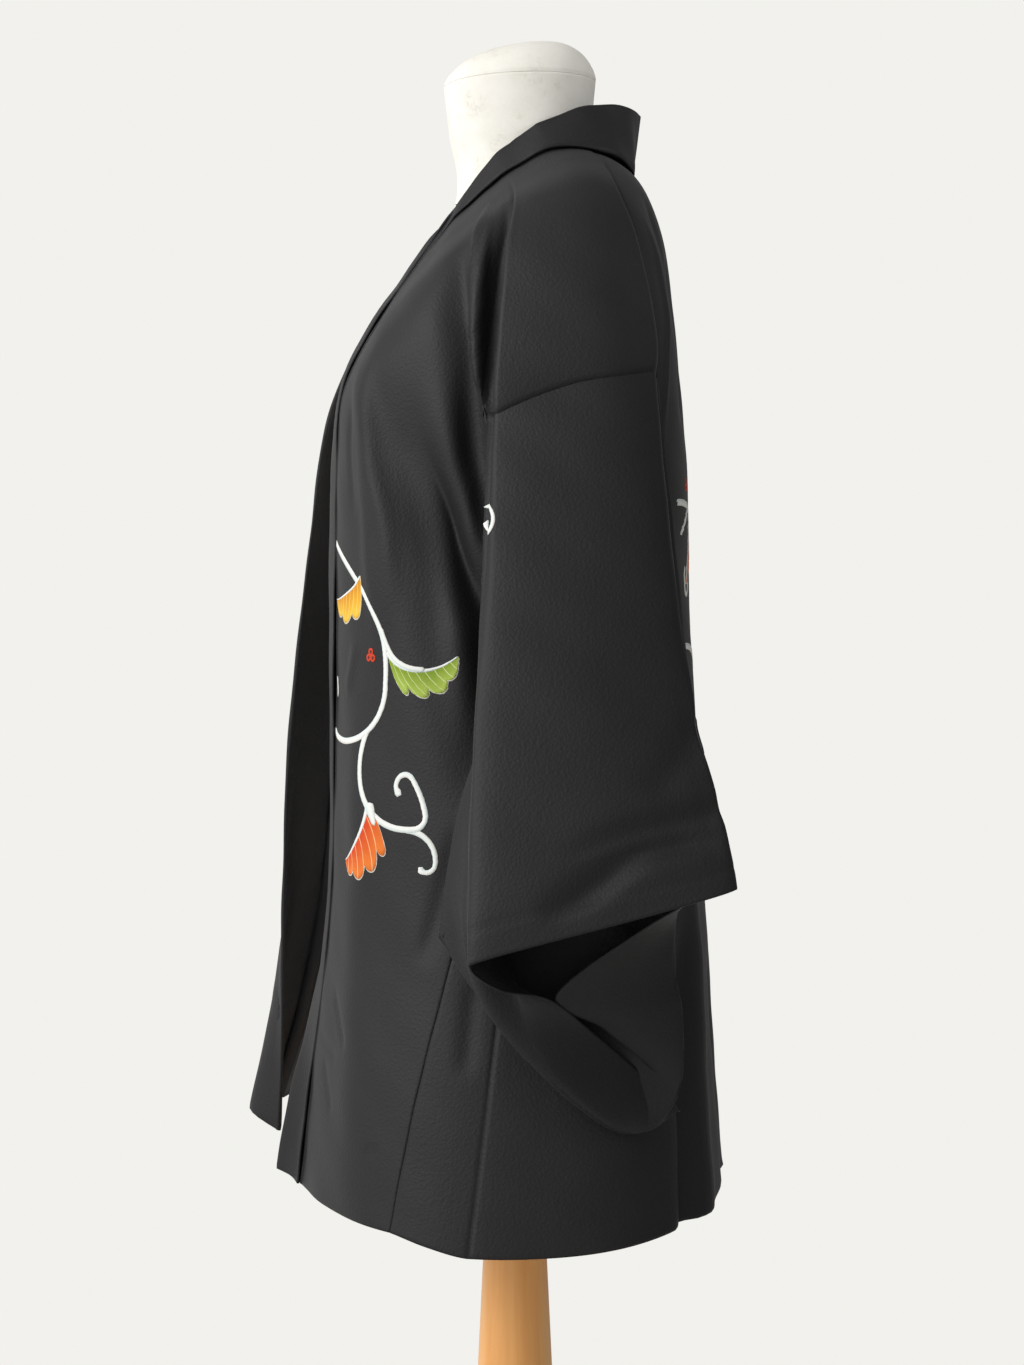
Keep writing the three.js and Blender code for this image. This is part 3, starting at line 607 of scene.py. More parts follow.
armholeHalf = 230  # sewn from the shoulder line to the underarm
sleeveDrop = 490  # from the shoulder line to the sleeve's bottom seam
sleeveRound = 2 * sleeveDrop
flapHalf = 52  # half of the flap's lower edge
flapFoot = 74  # the armhole runs down the body from here
furiCorner = np.array([206, -51, 814])  # the free lower corner on the body side
furiBow = 12  # how far the open edge bellies to the front and to the back
sleeveOff = 1.6  # the sleeve's edge stands this far outside the body's beside the flap
sleeveOffLow = 2.2  # and this far at the underarm
openHem = 1.6  # the narrow hem of the open edge is turned in by this
seamEnd = 8  # the armhole's seam passes into that hem over this length

# Threads from the armhole to the cuff, by their way round from the shoulder line: where each
# passes half way down, a hand above the cuff, and at the cuff's edge.
sleeveThreads = tableOf("v half low cuff", [
    [0, [251, 46, 1003], [291, 60, 876], [301, 64, 834]],
    [52, [244, 103, 1000], [284, 122, 884], [296, 123, 850]],
    [85, [232, 113, 993], [271, 137, 888], [286, 142, 855]],
    [150, [207, 88, 960], [238, 113, 858], [269, 112, 843]],
    [230, [208, 62, 905], [228, 106, 808], [257, 28, 784]],
    [330, [211, 30, 835], [221, 112, 760], [232, 58, 757]],
    [430, [216, 4, 778], [216, 104, 712], [216, 90, 728]],
    [490, [228, -7, 757], [220, 70, 688], [207, 110, 699]],
    [-430, [240, -20, 774], [236, 54, 700], [215, 87, 723]],
    [-330, [243, -32, 815], [248, 15, 745], [232, 55, 752]],
    [-230, [224, -16, 905], [250, -2, 796], [258, 22, 779]],
    [-150, [214, -17, 965], [262, -20, 833], [282, -10, 789]],
    [-85, [232, -25, 1000], [278, -30, 850], [292, -29, 804]],
    [-52, [246, -14, 1003], [288, -16, 861], [299, -17, 812]],
])
sleeveKnots = [0, 0.5, 0.88, 1]  # where the armhole, "half", "low" and "cuff" lie along a thread
sleeveBehind = steps(
    (0, flapHalf, 14), (flapHalf, flapFoot, 10), (flapFoot, armholeHalf, 42), (armholeHalf, sleeveDrop, 66),
)
sleeveAcross = np.concatenate([sleeveBehind, -sleeveBehind[-2:0:-1]])
sleeveDown = steps((0, 0.06, 6), (0.06, 0.5, 48), (0.5, 1, 62))


# Where the sleeve's edge meets the body, by its way v round from the shoulder line: along the flap's
# lower edge, over the step at either end of it, and down the armhole.
def armhole(v):
    back, way = v > 0, np.abs(v)
    step = np.clip((way - flapHalf) / (flapFoot - flapHalf), 0, 1)
    down = (np.clip(way, flapFoot, armholeHalf) - flapFoot) / (armholeHalf - flapFoot)
    along = 2.5 + np.clip(v, -flapHalf, flapHalf) / flapHalf / 2
    place = np.where(way <= flapHalf, along, np.where(back, 3 + step, 2 - step))
    return back, way, place, step, down, flapRow + (underarmRow - flapRow) * down


def sleeveUnder(side):  # the seam allowance inside the body
    back, way, place, _, _, row = armhole(sleeveAcross)
    deep = 2
    above = inwards(side, place, flapRow - 0.1, deep)
    beside = inwards(side, np.where(back, 4.035, 0.965), row, deep)
    return np.where((way <= flapFoot)[:, None], above, beside)


def sleeveTop(side, v):
    back, way, place, step, down, row = armhole(v)
    towards = np.where(back, -1, 1)
    free = np.clip((way - armholeHalf) / (sleeveDrop - armholeHalf), 0, 1)
    top = bodyPoint(side, place, flapRow)
    top[:, 0] += side * step * sleeveOff
    top[:, 1] += towards * seamGap * step * 1.5
    top[:, 2] -= seamGap * (1 + step)
    low = bodyPoint(side, np.where(back, 4, 1), row)
    low[:, 0] += side * (sleeveOff + (sleeveOffLow - sleeveOff) * down)
    low[:, 1] += towards * seamGap * 1.5
    hang = low + (furiCorner * [side, 1, 1] - low) * free[:, None]
    bow = np.sin(np.pi * free) * furiBow
    hang[:, 0] += side * bow * 0.35
    hang[:, 1] -= towards * bow
    return np.where((way <= flapFoot)[:, None], top, hang)


def sleevePanel(side):
    way = np.append(sleeveThreads["v"] % sleeveRound, sleeveRound)
    at = np.interp(sleeveAcross % sleeveRound, way, np.arange(len(way)))
    path = [sleeveTop(side, sleeveAcross)]
    path += [through(sleeveThreads[key], at, closed=True) * [side, 1, 1] for key in ("half", "low", "cuff")]
    grid = through(np.stack(path), np.interp(sleeveDown, sleeveKnots, range(4)))
    kept = np.ones((len(sleeveDown) - 1, len(sleeveAcross)), bool)
    hem = grid[3] - gridNormals(grid, kept, True, side > 0)[0][3] * openHem
    sewn = smooth((armholeHalf + seamEnd - np.abs(sleeveAcross)) / seamEnd)[:, None]
    under = sleeveUnder(side) * sewn + hem * (1 - sewn)
    grid = np.concatenate([under[None], grid])
    return makePanel(grid, sleeveAcross, np.append(-0.02, sleeveDown), wrap=True, turned=side > 0)


collarGap = 0.9  # between the body's edge and the collar's seam edge
neckGap = 3  # the same round the neck, where the band turns up out of the seam
collarFold = 1.7  # half of the doubled collar band's thickness
bandEdge = 0.5  # the band thins out to this where it is sewn down on the body
bandLap = 0.8  # and laps over the seam by this
allowanceDepth = 6  # of the body's seam allowance, inside the band

# Stations up the front (by row) and round the neck (by place). fold is the band's folded edge and
# bow is how far the band bulges.
collarColumns = "row place fold bow"
neckStations = [
    [0, 0, [54, -42, 1327], 0],
    [0, 1, [60, -14, 1362], 0],
    [0, 2.6, [61, 19, 1386], 0],
    [0, 4.2, [52, 56, 1399], 0],
    [0, 4.6, [31, 82, 1402], 0],
    [0, 5, [0, 91, 1402], 0],
]
leftCollar = tableOf(collarColumns, [
    [10, 0, [30, -173, 623], -2.5],
    [9.4, 0, [33, -163, 676], -2],
    [8.7, 0, [30, -146, 744], 0],
    [8, 0, [13, -135, 812], 2],
    [7, 0, [11, -133, 908], 2],
    [6, 0, [10, -133, 1012], 3],
    [4.7, 0, [8, -134, 1092], 3],
    [3.7, 0, [8, -131, 1160], 3],
    [3, 0, [12, -124, 1203], 2],
    [2, 0, [25, -101, 1246], 2],
    [1, 0, [43, -72, 1285], 0],
] + neckStations)
rightCollar = tableOf(collarColumns, [
    [10, 0, [36, -178, 637], 23],
    [9.3, 0, [36, -176, 694], 21],
    [8.5, 0, [36, -176, 762], 18],
    [7.8, 0, [36, -175, 830], 10],
    [7, 0, [35, -172, 914], 3],
    [6, 0, [33, -162, 1020], 0],
    [4.7, 0, [31, -152, 1100], 0],
    [3.7, 0, [30, -144, 1158], 0],
    [3, 0, [31, -131, 1202], 1],
    [2, 0, [34, -107, 1248], 1],
    [1, 0, [45, -79, 1286], 0],
] + neckStations)
# Where the band's outer edge hangs, round the neck: over which place of the body, and how far off.
neckHang = tableOf("place row off", [
    [0.25, 0.2, 2.2],
    [1.8, 0.3, 3],
    [2.5, 0.42, 3.5],
    [4.15, 0.5, 4],
    [4.57, 0.5, 5],
    [5, 0.45, 6],
])
legSteps = 9
neckStart, centreBack = 11, 16  # stations
tables = {1: leftCollar, -1: rightCollar}


# The band's seam edge, its folded edge, the way square out of it and where its outer half is sewn.
def collarSeat(side, position):
    table = tables[side]
    stations = range(len(table["row"]))
    row = np.interp(position, stations, table["row"])
    place = np.interp(position, stations, table["place"])
    seat = bodyPoint(side, place, row)
    seat[place >= 5 - tiny, 0] = 0
    fold = through(table["fold"], position) * [side, 1, 1]
    up = unit(fold - seat)
    gap = neckGap + (collarGap - neckGap) * np.clip(row, 0, 1)
    sideways, outward = facing(side, place, row, seat)
    square = unit(outward - up * (outward * up).sum(1, keepdims=True))
    return seat + up * gap[:, None], fold, square, seat + sideways * bandLap + outward * bandEdge


def allowance(side, position):  # a strip of the body's edge that lies inside the band
    clear, fold, square, _ = collarSeat(side, position)
    length = np.linalg.norm(fold - clear, axis=1, keepdims=True)
    bow = through(tables[side]["bow"], position)[:, None]
    deep = allowanceDepth / length
    return clear + (fold - clear) * deep + square * (0.3 + np.sin(np.pi * deep) * bow)


def collarHalf(side, at):
    clear, fold, square, sewn = collarSeat(side, at)
    hang = inwards(side, neckHang["place"], neckHang["row"], -neckHang["off"][:, None])
    hang[-1, 0] = 0
    turnedDown = smooth(at - neckStart + 1)[:, None]  # the band starts to turn down below the neck
    free = sewn * (1 - turnedDown) + through(hang, np.maximum(at - neckStart, 0)) * turnedDown
    bow = through(tables[side]["bow"], at)
    along = unit(fold - clear)
    toFree = free - clear
    toFree = unit(toFree - along * (toFree * along).sum(1, keepdims=True))
    outward = unit(square * (1 - turnedDown) + toFree * turnedDown)
    tip = fold - along * collarFold
    turned = tip + outward * 2 * collarFold

    def leg(start, end):
        share = np.linspace(0, 1, legSteps + 1)
        return [start + (end - start) * t + outward * (np.sin(np.pi * t) * bow)[:, None] for t in share]

    bend = []
    for turn in np.radians([25, 50, 70, 90, 110, 130, 155]):
        back, aside = collarFold * (1 - math.sin(turn)), collarFold * (1 - math.cos(turn))
        bend.append(fold - along * back + outward * aside)
    return np.stack(leg(clear, tip) + bend + leg(turned, free), 1)


def collarPanel():
    at = steps((0, neckStart, 110), (neckStart, centreBack, 64))
    left, right = collarHalf(1, at), collarHalf(-1, at)
    grid = np.concatenate([left, right[-2::-1]])
    down = np.concatenate([at, 2 * centreBack - at[-2::-1]])
    return makePanel(grid, np.linspace(0, 1, grid.shape[1]), down)


neckRows = tableOf("low high lift half middle front back square", [
    [1421, 1425, 1, 51, 4, -53, 60, 2.1],
    [1386, 1398, 0, 50, 6, -49, 58, 2.1],
    [1350, 1372, 2, 53, 12, -43, 61, 2.1],
])
# Under the shoulders the torso repeats the cloth's rows, this much lower and further in.
shoulderRows = tableOf("row sink side front back", [
    [0, 3, 2.6, 7, 2.4],
    [1, 2.8, 1, 7, 1.8],
    [2, 3, 1.8, 9, 2.6],
    [3, 3, 10, 9, 4],
])
trunkRows = tableOf("low high lift half middle front back square", [
    [1140, 1196, 4, 158, 24, -118, 108, 2.3],
    [1080, 1100, 0, 146, 14, -112, 102, 2.2],
    [1010, 1010, 0, 126, 6, -92, 90, 2.2],
    [930, 930, 0, 126, 6, -88, 92, 2.2],
    [840, 840, 0, 152, 6, -98, 106, 2.3],
    [760, 760, 0, 163, 4, -102, 108, 2.3],
    [690, 690, 0, 158, 2, -100, 104, 2.3],
])
formKeys = "low high lift half middle front back square squareBack edgeY edgeTurn".split()


def ownRows(rows):
    rows = dict(rows, squareBack=rows["square"], edgeY=rows["front"])
    rows["edgeTurn"] = np.full(len(rows["low"]), -90.0)
    return rows


def underCloth():
    rows = bodySection(1, shoulderRows["row"])
    rows["low"] = rows["low"] - shoulderRows["sink"]
    rows["high"] = rows["high"] - shoulderRows["sink"]
    rows["half"] = rows["half"] - shoulderRows["side"]
    rows["front"] = rows["front"] + shoulderRows["front"]
    rows["back"] = rows["back"] - shoulderRows["back"]
    return rows


formParts = [ownRows(neckRows), underCloth(), ownRows(trunkRows)]
formRows = {key: np.concatenate([part[key] for part in formParts]) for key in formKeys}
formBottom = 690
formSteps = 144


def formRing(position):
    section = {key: through(column, position) for key, column in formRows.items()}
    turn = np.arange(formSteps) / formSteps * 360 - 90
    x, y, z = sectionPoint(section, np.where(turn > 90, 180 - turn, turn))
    return np.stack([np.where(turn > 90, -x, x), y, z], -1)


def lathe(name, profile, material, segments=96):
    turn = np.arange(segments) / segments * 2 * np.pi
    rings = [np.stack([r * np.cos(turn), r * np.sin(turn), np.full(segments, z)], -1) for r, z in profile]
    return solidRings(name, rings, material)


def standIn(piece, node):
    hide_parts(node)
    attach(piece, "root")


# The neck cap's rings, from the middle out: share of the rim's size, height and shift to the back.
domeRings = [
    [0.02, 32.5, 15], [0.12, 32.5, 15], [0.35, 31, 13], [0.6, 26, 8], [0.8, 19, 4], [0.94, 10, 1.5],
    [1, 3, 0.3], [1, seamGap, 0],
]


def makeForm():
    last = len(formRows["low"]) - 1
    torso = solidRings("canvasTorso", [formRing(p) for p in np.linspace(0, last, 14 * last + 1)], canvas)
    standIn(torso, "form_torso")
    rim = formRing(0)
    centre = np.array([0, neckRows["middle"][0], neckRows["low"][0]])
    rings = []
    for share, high, shift in through(np.array(domeRings), np.linspace(0, len(domeRings) - 1, 50)):
        rings.append(centre + (rim - centre) * min(share, 1) + [0, shift, high])
    standIn(solidRings("canvasNeckCap", rings, canvas), "form_cap")


# Radius and height, from the bottom up.
poleProfile = [
    [44, 30.45], [46, 34], [46, 46], [44.5, 50], [40, 54], [36, 58], [34, 64], [33.6, 120], [33, 300],
    [27.6, 470], [23.9, 548], [20, 640], [19, 673.1],
]
baseProfile = [[186, 0], [189, 1.4], [190, 4], [190, 18], [188.6, 21.5], [182, 27], [176, 29.2], [170, 30]]
# Share of the torso's lower edge, and how far below it.
plateProfile = [(0.94, 0), (0.948, 0.8), (0.95, 2), (0.95, 14), (0.948, 15.2), (0.94, 16)]


def makeStand():
    pole = lathe("turnedPole", poleProfile[::-1], beech)
    base = lathe("roundBase", baseProfile[::-1], beech, 144)
    rim = formRing(len(formRows["low"]) - 1)
    rings = []
    for share, sunk in plateProfile:
        high = np.full(formSteps, formBottom - seamGap - sunk)
        rings.append(np.column_stack([rim[:, 0] * share, rim[:, 1] * share, high]))
    plate = solidRings("woodenPlate", rings, beech)
    for piece, node in ((pole, "stand_pole"), (base, "stand_base"), (plate, "form_plate")):
        standIn(piece, node)


def clothPiece(name, node, panel, edgeThick=clothShell["edge"]):
    piece = makeShell(name, panel, crepe, edgeThick)
    standIn(piece, node)


makeForm()
makeStand()
print("form and stand made")

panels = {}
for label, side in (("left", 1), ("right", -1)):
    panels["body " + label] = bodyPanel(side)
    panels["gusset " + label] = gussetPanel(side)
    panels["sleeve " + label] = sleevePanel(side)
panels["collar"] = collarPanel()
for panel in panels.values():
    setNormals(panel)

# Creases by piece: path of (across, down) places, depth, width and, where they matter, steep and fade.
creases = {
    "body left": [
        ([(0.39, 2.3), (0.39, 3.3), (0.42, 3.9), (0.46, 4.5), (0.47, 5.2), (0.44, 6.0)], 3.0, 8),
        ([(0.24, 3.2), (0.24, 3.8), (0.28, 4.6)], -1.2, 5),
        ([(0.58, 3.0), (0.63, 3.8), (0.69, 4.5), (0.73, 5.1), (0.78, 5.6), (0.85, 6.0), (0.9, 6.5),
          (0.93, 7.3)], -22, 19, 1, (0.4, 0.25)),
        ([(0.85, 3.1), (0.87, 3.6), (0.885, 4.1), (0.895, 4.6), (0.9, 5.2), (0.905, 5.9)],
         -12, 9, 1.3, (0.5, 0.3)),
        ([(0.88, 1.4), (0.92, 2.5), (0.94, 3.1), (0.955, 3.5), (0.97, 4.0)], 6, 4.5, 1, (0.35, 0.2)),
        ([(0.98, 1.5), (1.0, 2.5), (1.0, 3.3), (1.0, 3.9)], -4, 4.0, 1, (0.3, 0.1)),
        ([(0.25, 6.0), (0.18, 6.4)], 1.4, 6),
        ([(0.9, 7.2), (0.85, 8.2)], -2.5, 8),
        ([(0.2, 8.45), (0.48, 8.85)], -1.4, 4),
        ([(0.05, 8.83), (0.39, 8.96)], -1.0, 3),
        ([(0.17, 9.0), (0.4, 9.34)], -1.0, 4),
        ([(0.75, 9.43), (0.85, 9.46)], -1.0, 2.5),
        ([(4.16, 2.2), (4.16, 3.3), (4.1, 4.0), (4.26, 4.7)], 2.0, 3),
        ([(4.3, 1.6), (4.34, 3.0), (4.4, 4.6)], -2.5, 7),
        ([(4.83, 8.9), (4.85, 10)], -1.5, 8, 1, (0.3, 0)),
    ],
    "body right": [
        ([(0.36, 2.4), (0.37, 3.2), (0.4, 4.0), (0.43, 4.7), (0.46, 5.4)], 2.6, 9),
        ([(0.5, 3.2), (0.54, 3.9), (0.59, 4.6), (0.66, 5.2), (0.74, 5.8), (0.8, 6.4), (0.82, 7.2)],
         -16, 18, 1, (0.4, 0.3)),
        ([(0.78, 2.5), (0.83, 3.2), (0.87, 3.9), (0.89, 4.6)], -7, 8, 1.2, (0.6, 0.3)),
        ([(0.88, 1.5), (0.92, 2.4), (0.945, 3.1), (0.96, 3.9)], 5.5, 4.8, 1, (0.35, 0.2)),
        ([(0.98, 1.9), (1.0, 2.7), (1.0, 3.8)], -3, 4.0, 1, (0.4, 0.1)),
        ([(0.28, 5.8), (0.2, 6.3)], 1.2, 7),
        ([(0.86, 7.5), (0.8, 8.3), (0.82, 9.0)], -2.5, 9),
        ([(0.25, 8.6), (0.5, 8.9)], -1.2, 4),
        ([(0.1, 9.1), (0.33, 9.3)], -1.0, 4),
        ([(4.16, 2.2), (4.18, 3.2), (4.12, 4.1)], 1.8, 3),
        ([(4.34, 2.3), (4.4, 3.3), (4.44, 4.4)], -1.6, 8),
        ([(4.2, 5.6), (4.35, 6.4)], -1.6, 6),
        ([(4.8, 8.7), (4.79, 10)], -1.8, 9, 1, (0.3, 0)),
    ],
    "gusset left": [([(0.5, 8.2), (0.65, 8.9)], -2.0, 7)],
    "gusset right": [([(0.44, 8.0), (0.56, 9.0)], -1.8, 7)],
    "sleeve left": [
        ([(-150, 0.927), (0, 0.927), (150, 0.927)], -0.5, 1.6, 1, (0, 0)),
        ([(-30, 0.935), (-14, 0.92), (10, 0.886), (38, 0.868), (76, 0.876)], -6, 7, 1.6),
        ([(-20, 0.86), (14, 0.82), (52, 0.8), (90, 0.81)], -3.5, 6, 1.5),
        ([(20, 0.76), (50, 0.66), (84, 0.566)], -2.0, 12),
        ([(-200, 0.3), (-215, 0.45), (-250, 0.6)], -3.0, 11),
        ([(180, 0.3), (214, 0.5), (240, 0.72)], -3.5, 12),
        ([(320, 0.5), (300, 0.7), (310, 0.85)], -2.5, 11),
    ],
    "sleeve right": [
        ([(-150, 0.927), (0, 0.927), (150, 0.927)], -0.5, 1.6, 1, (0, 0)),
        ([(-34, 0.94), (-10, 0.9), (20, 0.876), (60, 0.88)], -3.5, 8, 1.5),
        ([(10, 0.78), (46, 0.67), (78, 0.55)], -2.2, 12),
        ([(-190, 0.34), (-220, 0.5), (-244, 0.66)], -3.2, 12),
        ([(190, 0.26), (206, 0.45), (236, 0.66)], -3.0, 12),
        ([(-330, 0.5), (-300, 0.7)], -2.2, 10),
        ([(350, 0.55), (320, 0.8)], -2.4, 11),
    ],
    "collar": [
        ([(0.7, 28.1), (0.7, 30.2)], -0.7, 2),
        ([(0.2, 29.4), (0.02, 29.4)], -0.7, 2),
    ],
}
for name, laid in creases.items():
    for path, depth, width, *more in laid:
        crease(panels[name], path, depth, width, *more)
for panel in panels.values():
    settle(panel)
print("creases laid")


# The scrolling vine, karakusa, is drawn with arcs as a dyer draws it: each move is (length, turn),
# in mm along the cloth and degrees to the left. On a body length the first number is the way round
# from its front edge, or for "back" from the centre back towards the wearer's left, and the second
# is the height; on a sleeve they are the way round from the shoulder line and the way down, less
# than nothing.
sleeveLong = 380  # from the armhole to the cuff along the shoulder fold


def scroll(start, heading, moves, pace=2.0):
    points, headings = [np.array(start, float)], [math.radians(heading)]
    for length, turn in moves:
        count = max(2, round(length / pace))
        for _ in range(count):
            middle = headings[-1] + math.radians(turn) / count / 2
            points.append(points[-1] + length / count * np.array([math.cos(middle), math.sin(middle)]))
            headings.append(headings[-1] + math.radians(turn) / count)
    return np.array(points), np.array(headings)


def arcs(panel):  # the way round from the front edge along each row of a body length
    if "arc" not in panel:
        lengths = np.linalg.norm(np.diff(panel["grid"], axis=1), axis=2)
        start = np.zeros((len(panel["down"]), 1))
        panel["arc"] = np.hstack([start, np.cumsum(lengths, axis=1)]) - lengths[:, :1]
    return panel["arc"]


def bodyPlaces(panel, way, height):
    grid, across, down = panel["grid"], panel["across"], panel["down"]
    arc, columns = arcs(panel), range(len(across))
    places = []
    for s, h in zip(way, height):
        i = int(np.clip(s / 450, 0, 1) * (len(across) - 1))  # a first guess, mended three times
        for _ in range(3):
            row = np.interp(-h, -grid[1:, i, 2], down[1:])
            j = int(np.clip(round(np.interp(row, down, range(len(down)))), 1, len(down) - 1))
            place = np.interp(s, arc[j], across)
            i = int(round(np.interp(place, across, columns)))
        places.append((place, row))
    return np.array(places).reshape(-1, 2).T


def spotsOn(cloth, points):  # for each panel below the drawing: place, row and which points are on it
    everywhere = np.full(len(points), True)
    if cloth.startswith("sleeve"):
        return [(panels[cloth], points[:, 0], -points[:, 1] / sleeveLong, everywhere)]
    if cloth != "back":
        return [(panels[cloth], *bodyPlaces(panels[cloth], *points.T), everywhere)]
    spots = []
    for name, on in (("body left", points[:, 0] > 0), ("body right", points[:, 0] <= 0)):
        panel = panels[name]
        row = np.interp(-points[on, 1], -panel["grid"][1:, -1, 2], range(1, len(panel["down"])))
        whole = arcs(panel)[np.round(row).astype(int), -1]
        spots.append((panel, *bodyPlaces(panel, whole - np.abs(points[on, 0]), points[on, 1]), on))
    return spots


def laidOn(cloth, points, lift):  # flat drawing to points just above the cloth
    laid = np.zeros((len(points), 3))
    for panel, place, row, on in spotsOn(cloth, points):
        if on.any():
            normal = unit(pointsAt(panel, place, row, panel["normal"]))
            laid[on] = pointsAt(panel, place, row) + normal * lift[on, None]
    return laid


drawing = {}  # for each cloth: points, faces, uv and paint of each face
seenTurned = ("body right", "sleeve right", "back")  # there a drawing is seen the other way round


def lay(cloth, flat, uv, colourName, lift):  # flat is a grid (rows, columns, 2) of drawn points
    border = ((1, 1), (1, 1), (0, 0))
    rim, rimUv = np.pad(flat, border, mode="edge"), np.pad(uv, border, mode="edge")
    heights = np.full(rim.shape[:2], -0.1)  # the paint's edge dips under the cloth
    heights[1:-1, 1:-1] = lift
    made = drawing.setdefault(cloth, {"points": [], "faces": [], "uv": [], "paint": [], "count": 0})
    made["points"].append(laidOn(cloth, rim.reshape(-1, 2), heights.ravel()))
    made["uv"].append(rimUv.reshape(-1, 2))
    ids = made["count"] + np.arange(heights.size).reshape(heights.shape)
    faces = np.stack([ids[:-1, :-1], ids[1:, :-1], ids[1:, 1:], ids[:-1, 1:]], -1).reshape(-1, 4)
    if cloth in seenTurned:
        faces = faces[:, ::-1]
    made["faces"].append(faces)
    made["paint"] += [paintOrder.index(colourName)] * len(faces)
    made["count"] += ids.size


# How high the layers of paint stand on the cloth.
layers = {
    "outline": 0.26, "seed": 0.3, "line": 0.34, "lobes": 0.4, "rib": 0.52, "crossing": 0.54, "root": 0.56,
}


# A brush stroke: its width runs from width to tip, its ends are round, and it may end in a bud. A
# blunt one starts square, at a seam.
def stroke(cloth, start, heading, moves, width, tip, bud=0, colourName="white", layer="line", blunt=False):
    points, headings = scroll(start, heading, moves)
    length = np.concatenate([[0], np.cumsum(np.linalg.norm(np.diff(points, axis=0), axis=1))])
    total = length[-1]
    wide = width + (tip - width) * (length / total) ** 1.3
    if bud:
        wide = np.maximum(wide, 2 * np.sqrt(np.clip(bud**2 - (total - bud - length) ** 2, 0, None)))
    for way in (length, total - length):
        if not (blunt and way is length):
            close = np.clip(way / (wide / 2 + 0.01), 0.02, 1)
            wide = wide * np.where(way < wide / 2, np.sqrt(1 - (1 - close) ** 2), 1)
    sideways = np.stack([-np.sin(headings), np.cos(headings)], -1)
    across = np.array([-0.5, 0, 0.5])
    flat = points[:, None] + sideways[:, None] * (wide[:, None] * across)[..., None]
    uv = np.stack(np.broadcast_arrays((length / total)[:, None], across + 0.5), -1)
    lay(cloth, flat, uv, colourName, layers[layer])


# Half a palmette leaf: a white rib with pointed lobes on one side (1 left, -1 right of the rib).
# sweep is how far the lobes turn away from the rib, at its root and at its tip.
def leaf(cloth, start, heading, moves, colourName, wide=26, lobes=4, side=-1, sweep=(15, 88), rib=3.4):
    points, headings = scroll(start, heading, moves, 0.8)
    share = np.linspace(0, 1, len(points))
    cusp = np.abs(np.sin(np.pi * (lobes * share ** 0.85 + 0.3) / (1 + 0.3 / lobes)))
    reach = wide * (1 - share**1.6) ** 0.8 * (0.7 + 0.3 * cusp**0.6)
    turn = headings + side * np.radians(sweep[0] + (sweep[1] - sweep[0]) * share)
    across = np.linspace(0, 1, 9)
    uv = np.stack(np.broadcast_arrays(share[:, None], across[None, :]), -1)
    for extra, laidColour, layer in ((0.8, "line", "outline"), (0, colourName, "lobes")):
        spread = (reach[:, None] + extra) * across
        way = turn[:, None] - side * 0.25 * (across - 0.5)  # the lobes bend a little towards the tip
        flat = points[:, None] + np.stack([np.cos(way), np.sin(way)], -1) * spread[..., None]
        turned = slice(None, None, side)
        lay(cloth, flat[:, turned], uv[:, turned], laidColour, layers[layer])
    stroke(cloth, start, heading, moves, rib, 0.8, layer="rib")


def ring(cloth, centre, radius, colourName, hole=0.45, layer="line"):
    turn = np.linspace(0, 2 * np.pi, 19)
    spokes = np.stack([np.cos(turn), np.sin(turn)], -1)
    flat = np.array(centre, float) + spokes[:, None] * (np.array([hole, 0.7, 1]) * radius)[:, None]
    uv = np.stack(np.broadcast_arrays(turn[:, None] / 7, np.array([0, 0.5, 1.0])), -1)
    lay(cloth, flat, uv, colourName, layers[layer])


def berries(cloth, centre, size=2.7):
    for turn in (90, 205, 330):
        turn = math.radians(turn)
        at = (centre[0] + size * 1.05 * math.cos(turn), centre[1] + size * 1.05 * math.sin(turn))
        ring(cloth, at, size, "red")
        ring(cloth, at, size * 0.42, "dark", 0.02, "seed")


def paintLeftFront():
    on = "body left"
    stem = [(64, -16), (33, -20), (27, -28), (24, -12), (25, -36), (29, -38), (45, -20), (13, -30)]
    stroke(on, (0.5, 1081), -20, stem, 4.2, 4.4, blunt=True)
    curl = [(30, 34), (27, 40), (28, 34), (22, 20), (15, 100), (26, 20), (13, 94), (9, 70), (6, 60)]
    stroke(on, (71, 950), -120, curl, 4.8, 3.6, bud=2.9)
    stroke(on, (112, 882), 0, [(10, -14), (14, -34), (15, -44), (9, -84), (8, -60)], 4.0, 3.2, bud=2.6)
    leaf(on, (91, 1004), -56, [(15, 32), (18, 28), (14, 18), (14, 16)], "green", 31)
    stroke(on, (85, 1021), -72, [(18, 16), (15, 32), (18, 28)], 3.0, 3.6, layer="crossing")
    leaf(on, (60, 1057), -140, [(20, -20), (42, -22)], "yellow", 28, 3, 1, (53, 80), rib=1.6)
    leaf(on, (76, 899), -95, [(18, -20), (38, -46)], "orange", 38, 4, 1, (45, 75), rib=3.2)
    stroke(on, (77, 899), -64, [(17, 0)], 9, 3, layer="root")
    berries(on, (73, 1001))
    stroke(on, (2, 985), -60, [(9, -20), (6, -30)], 3.0, 2.4)


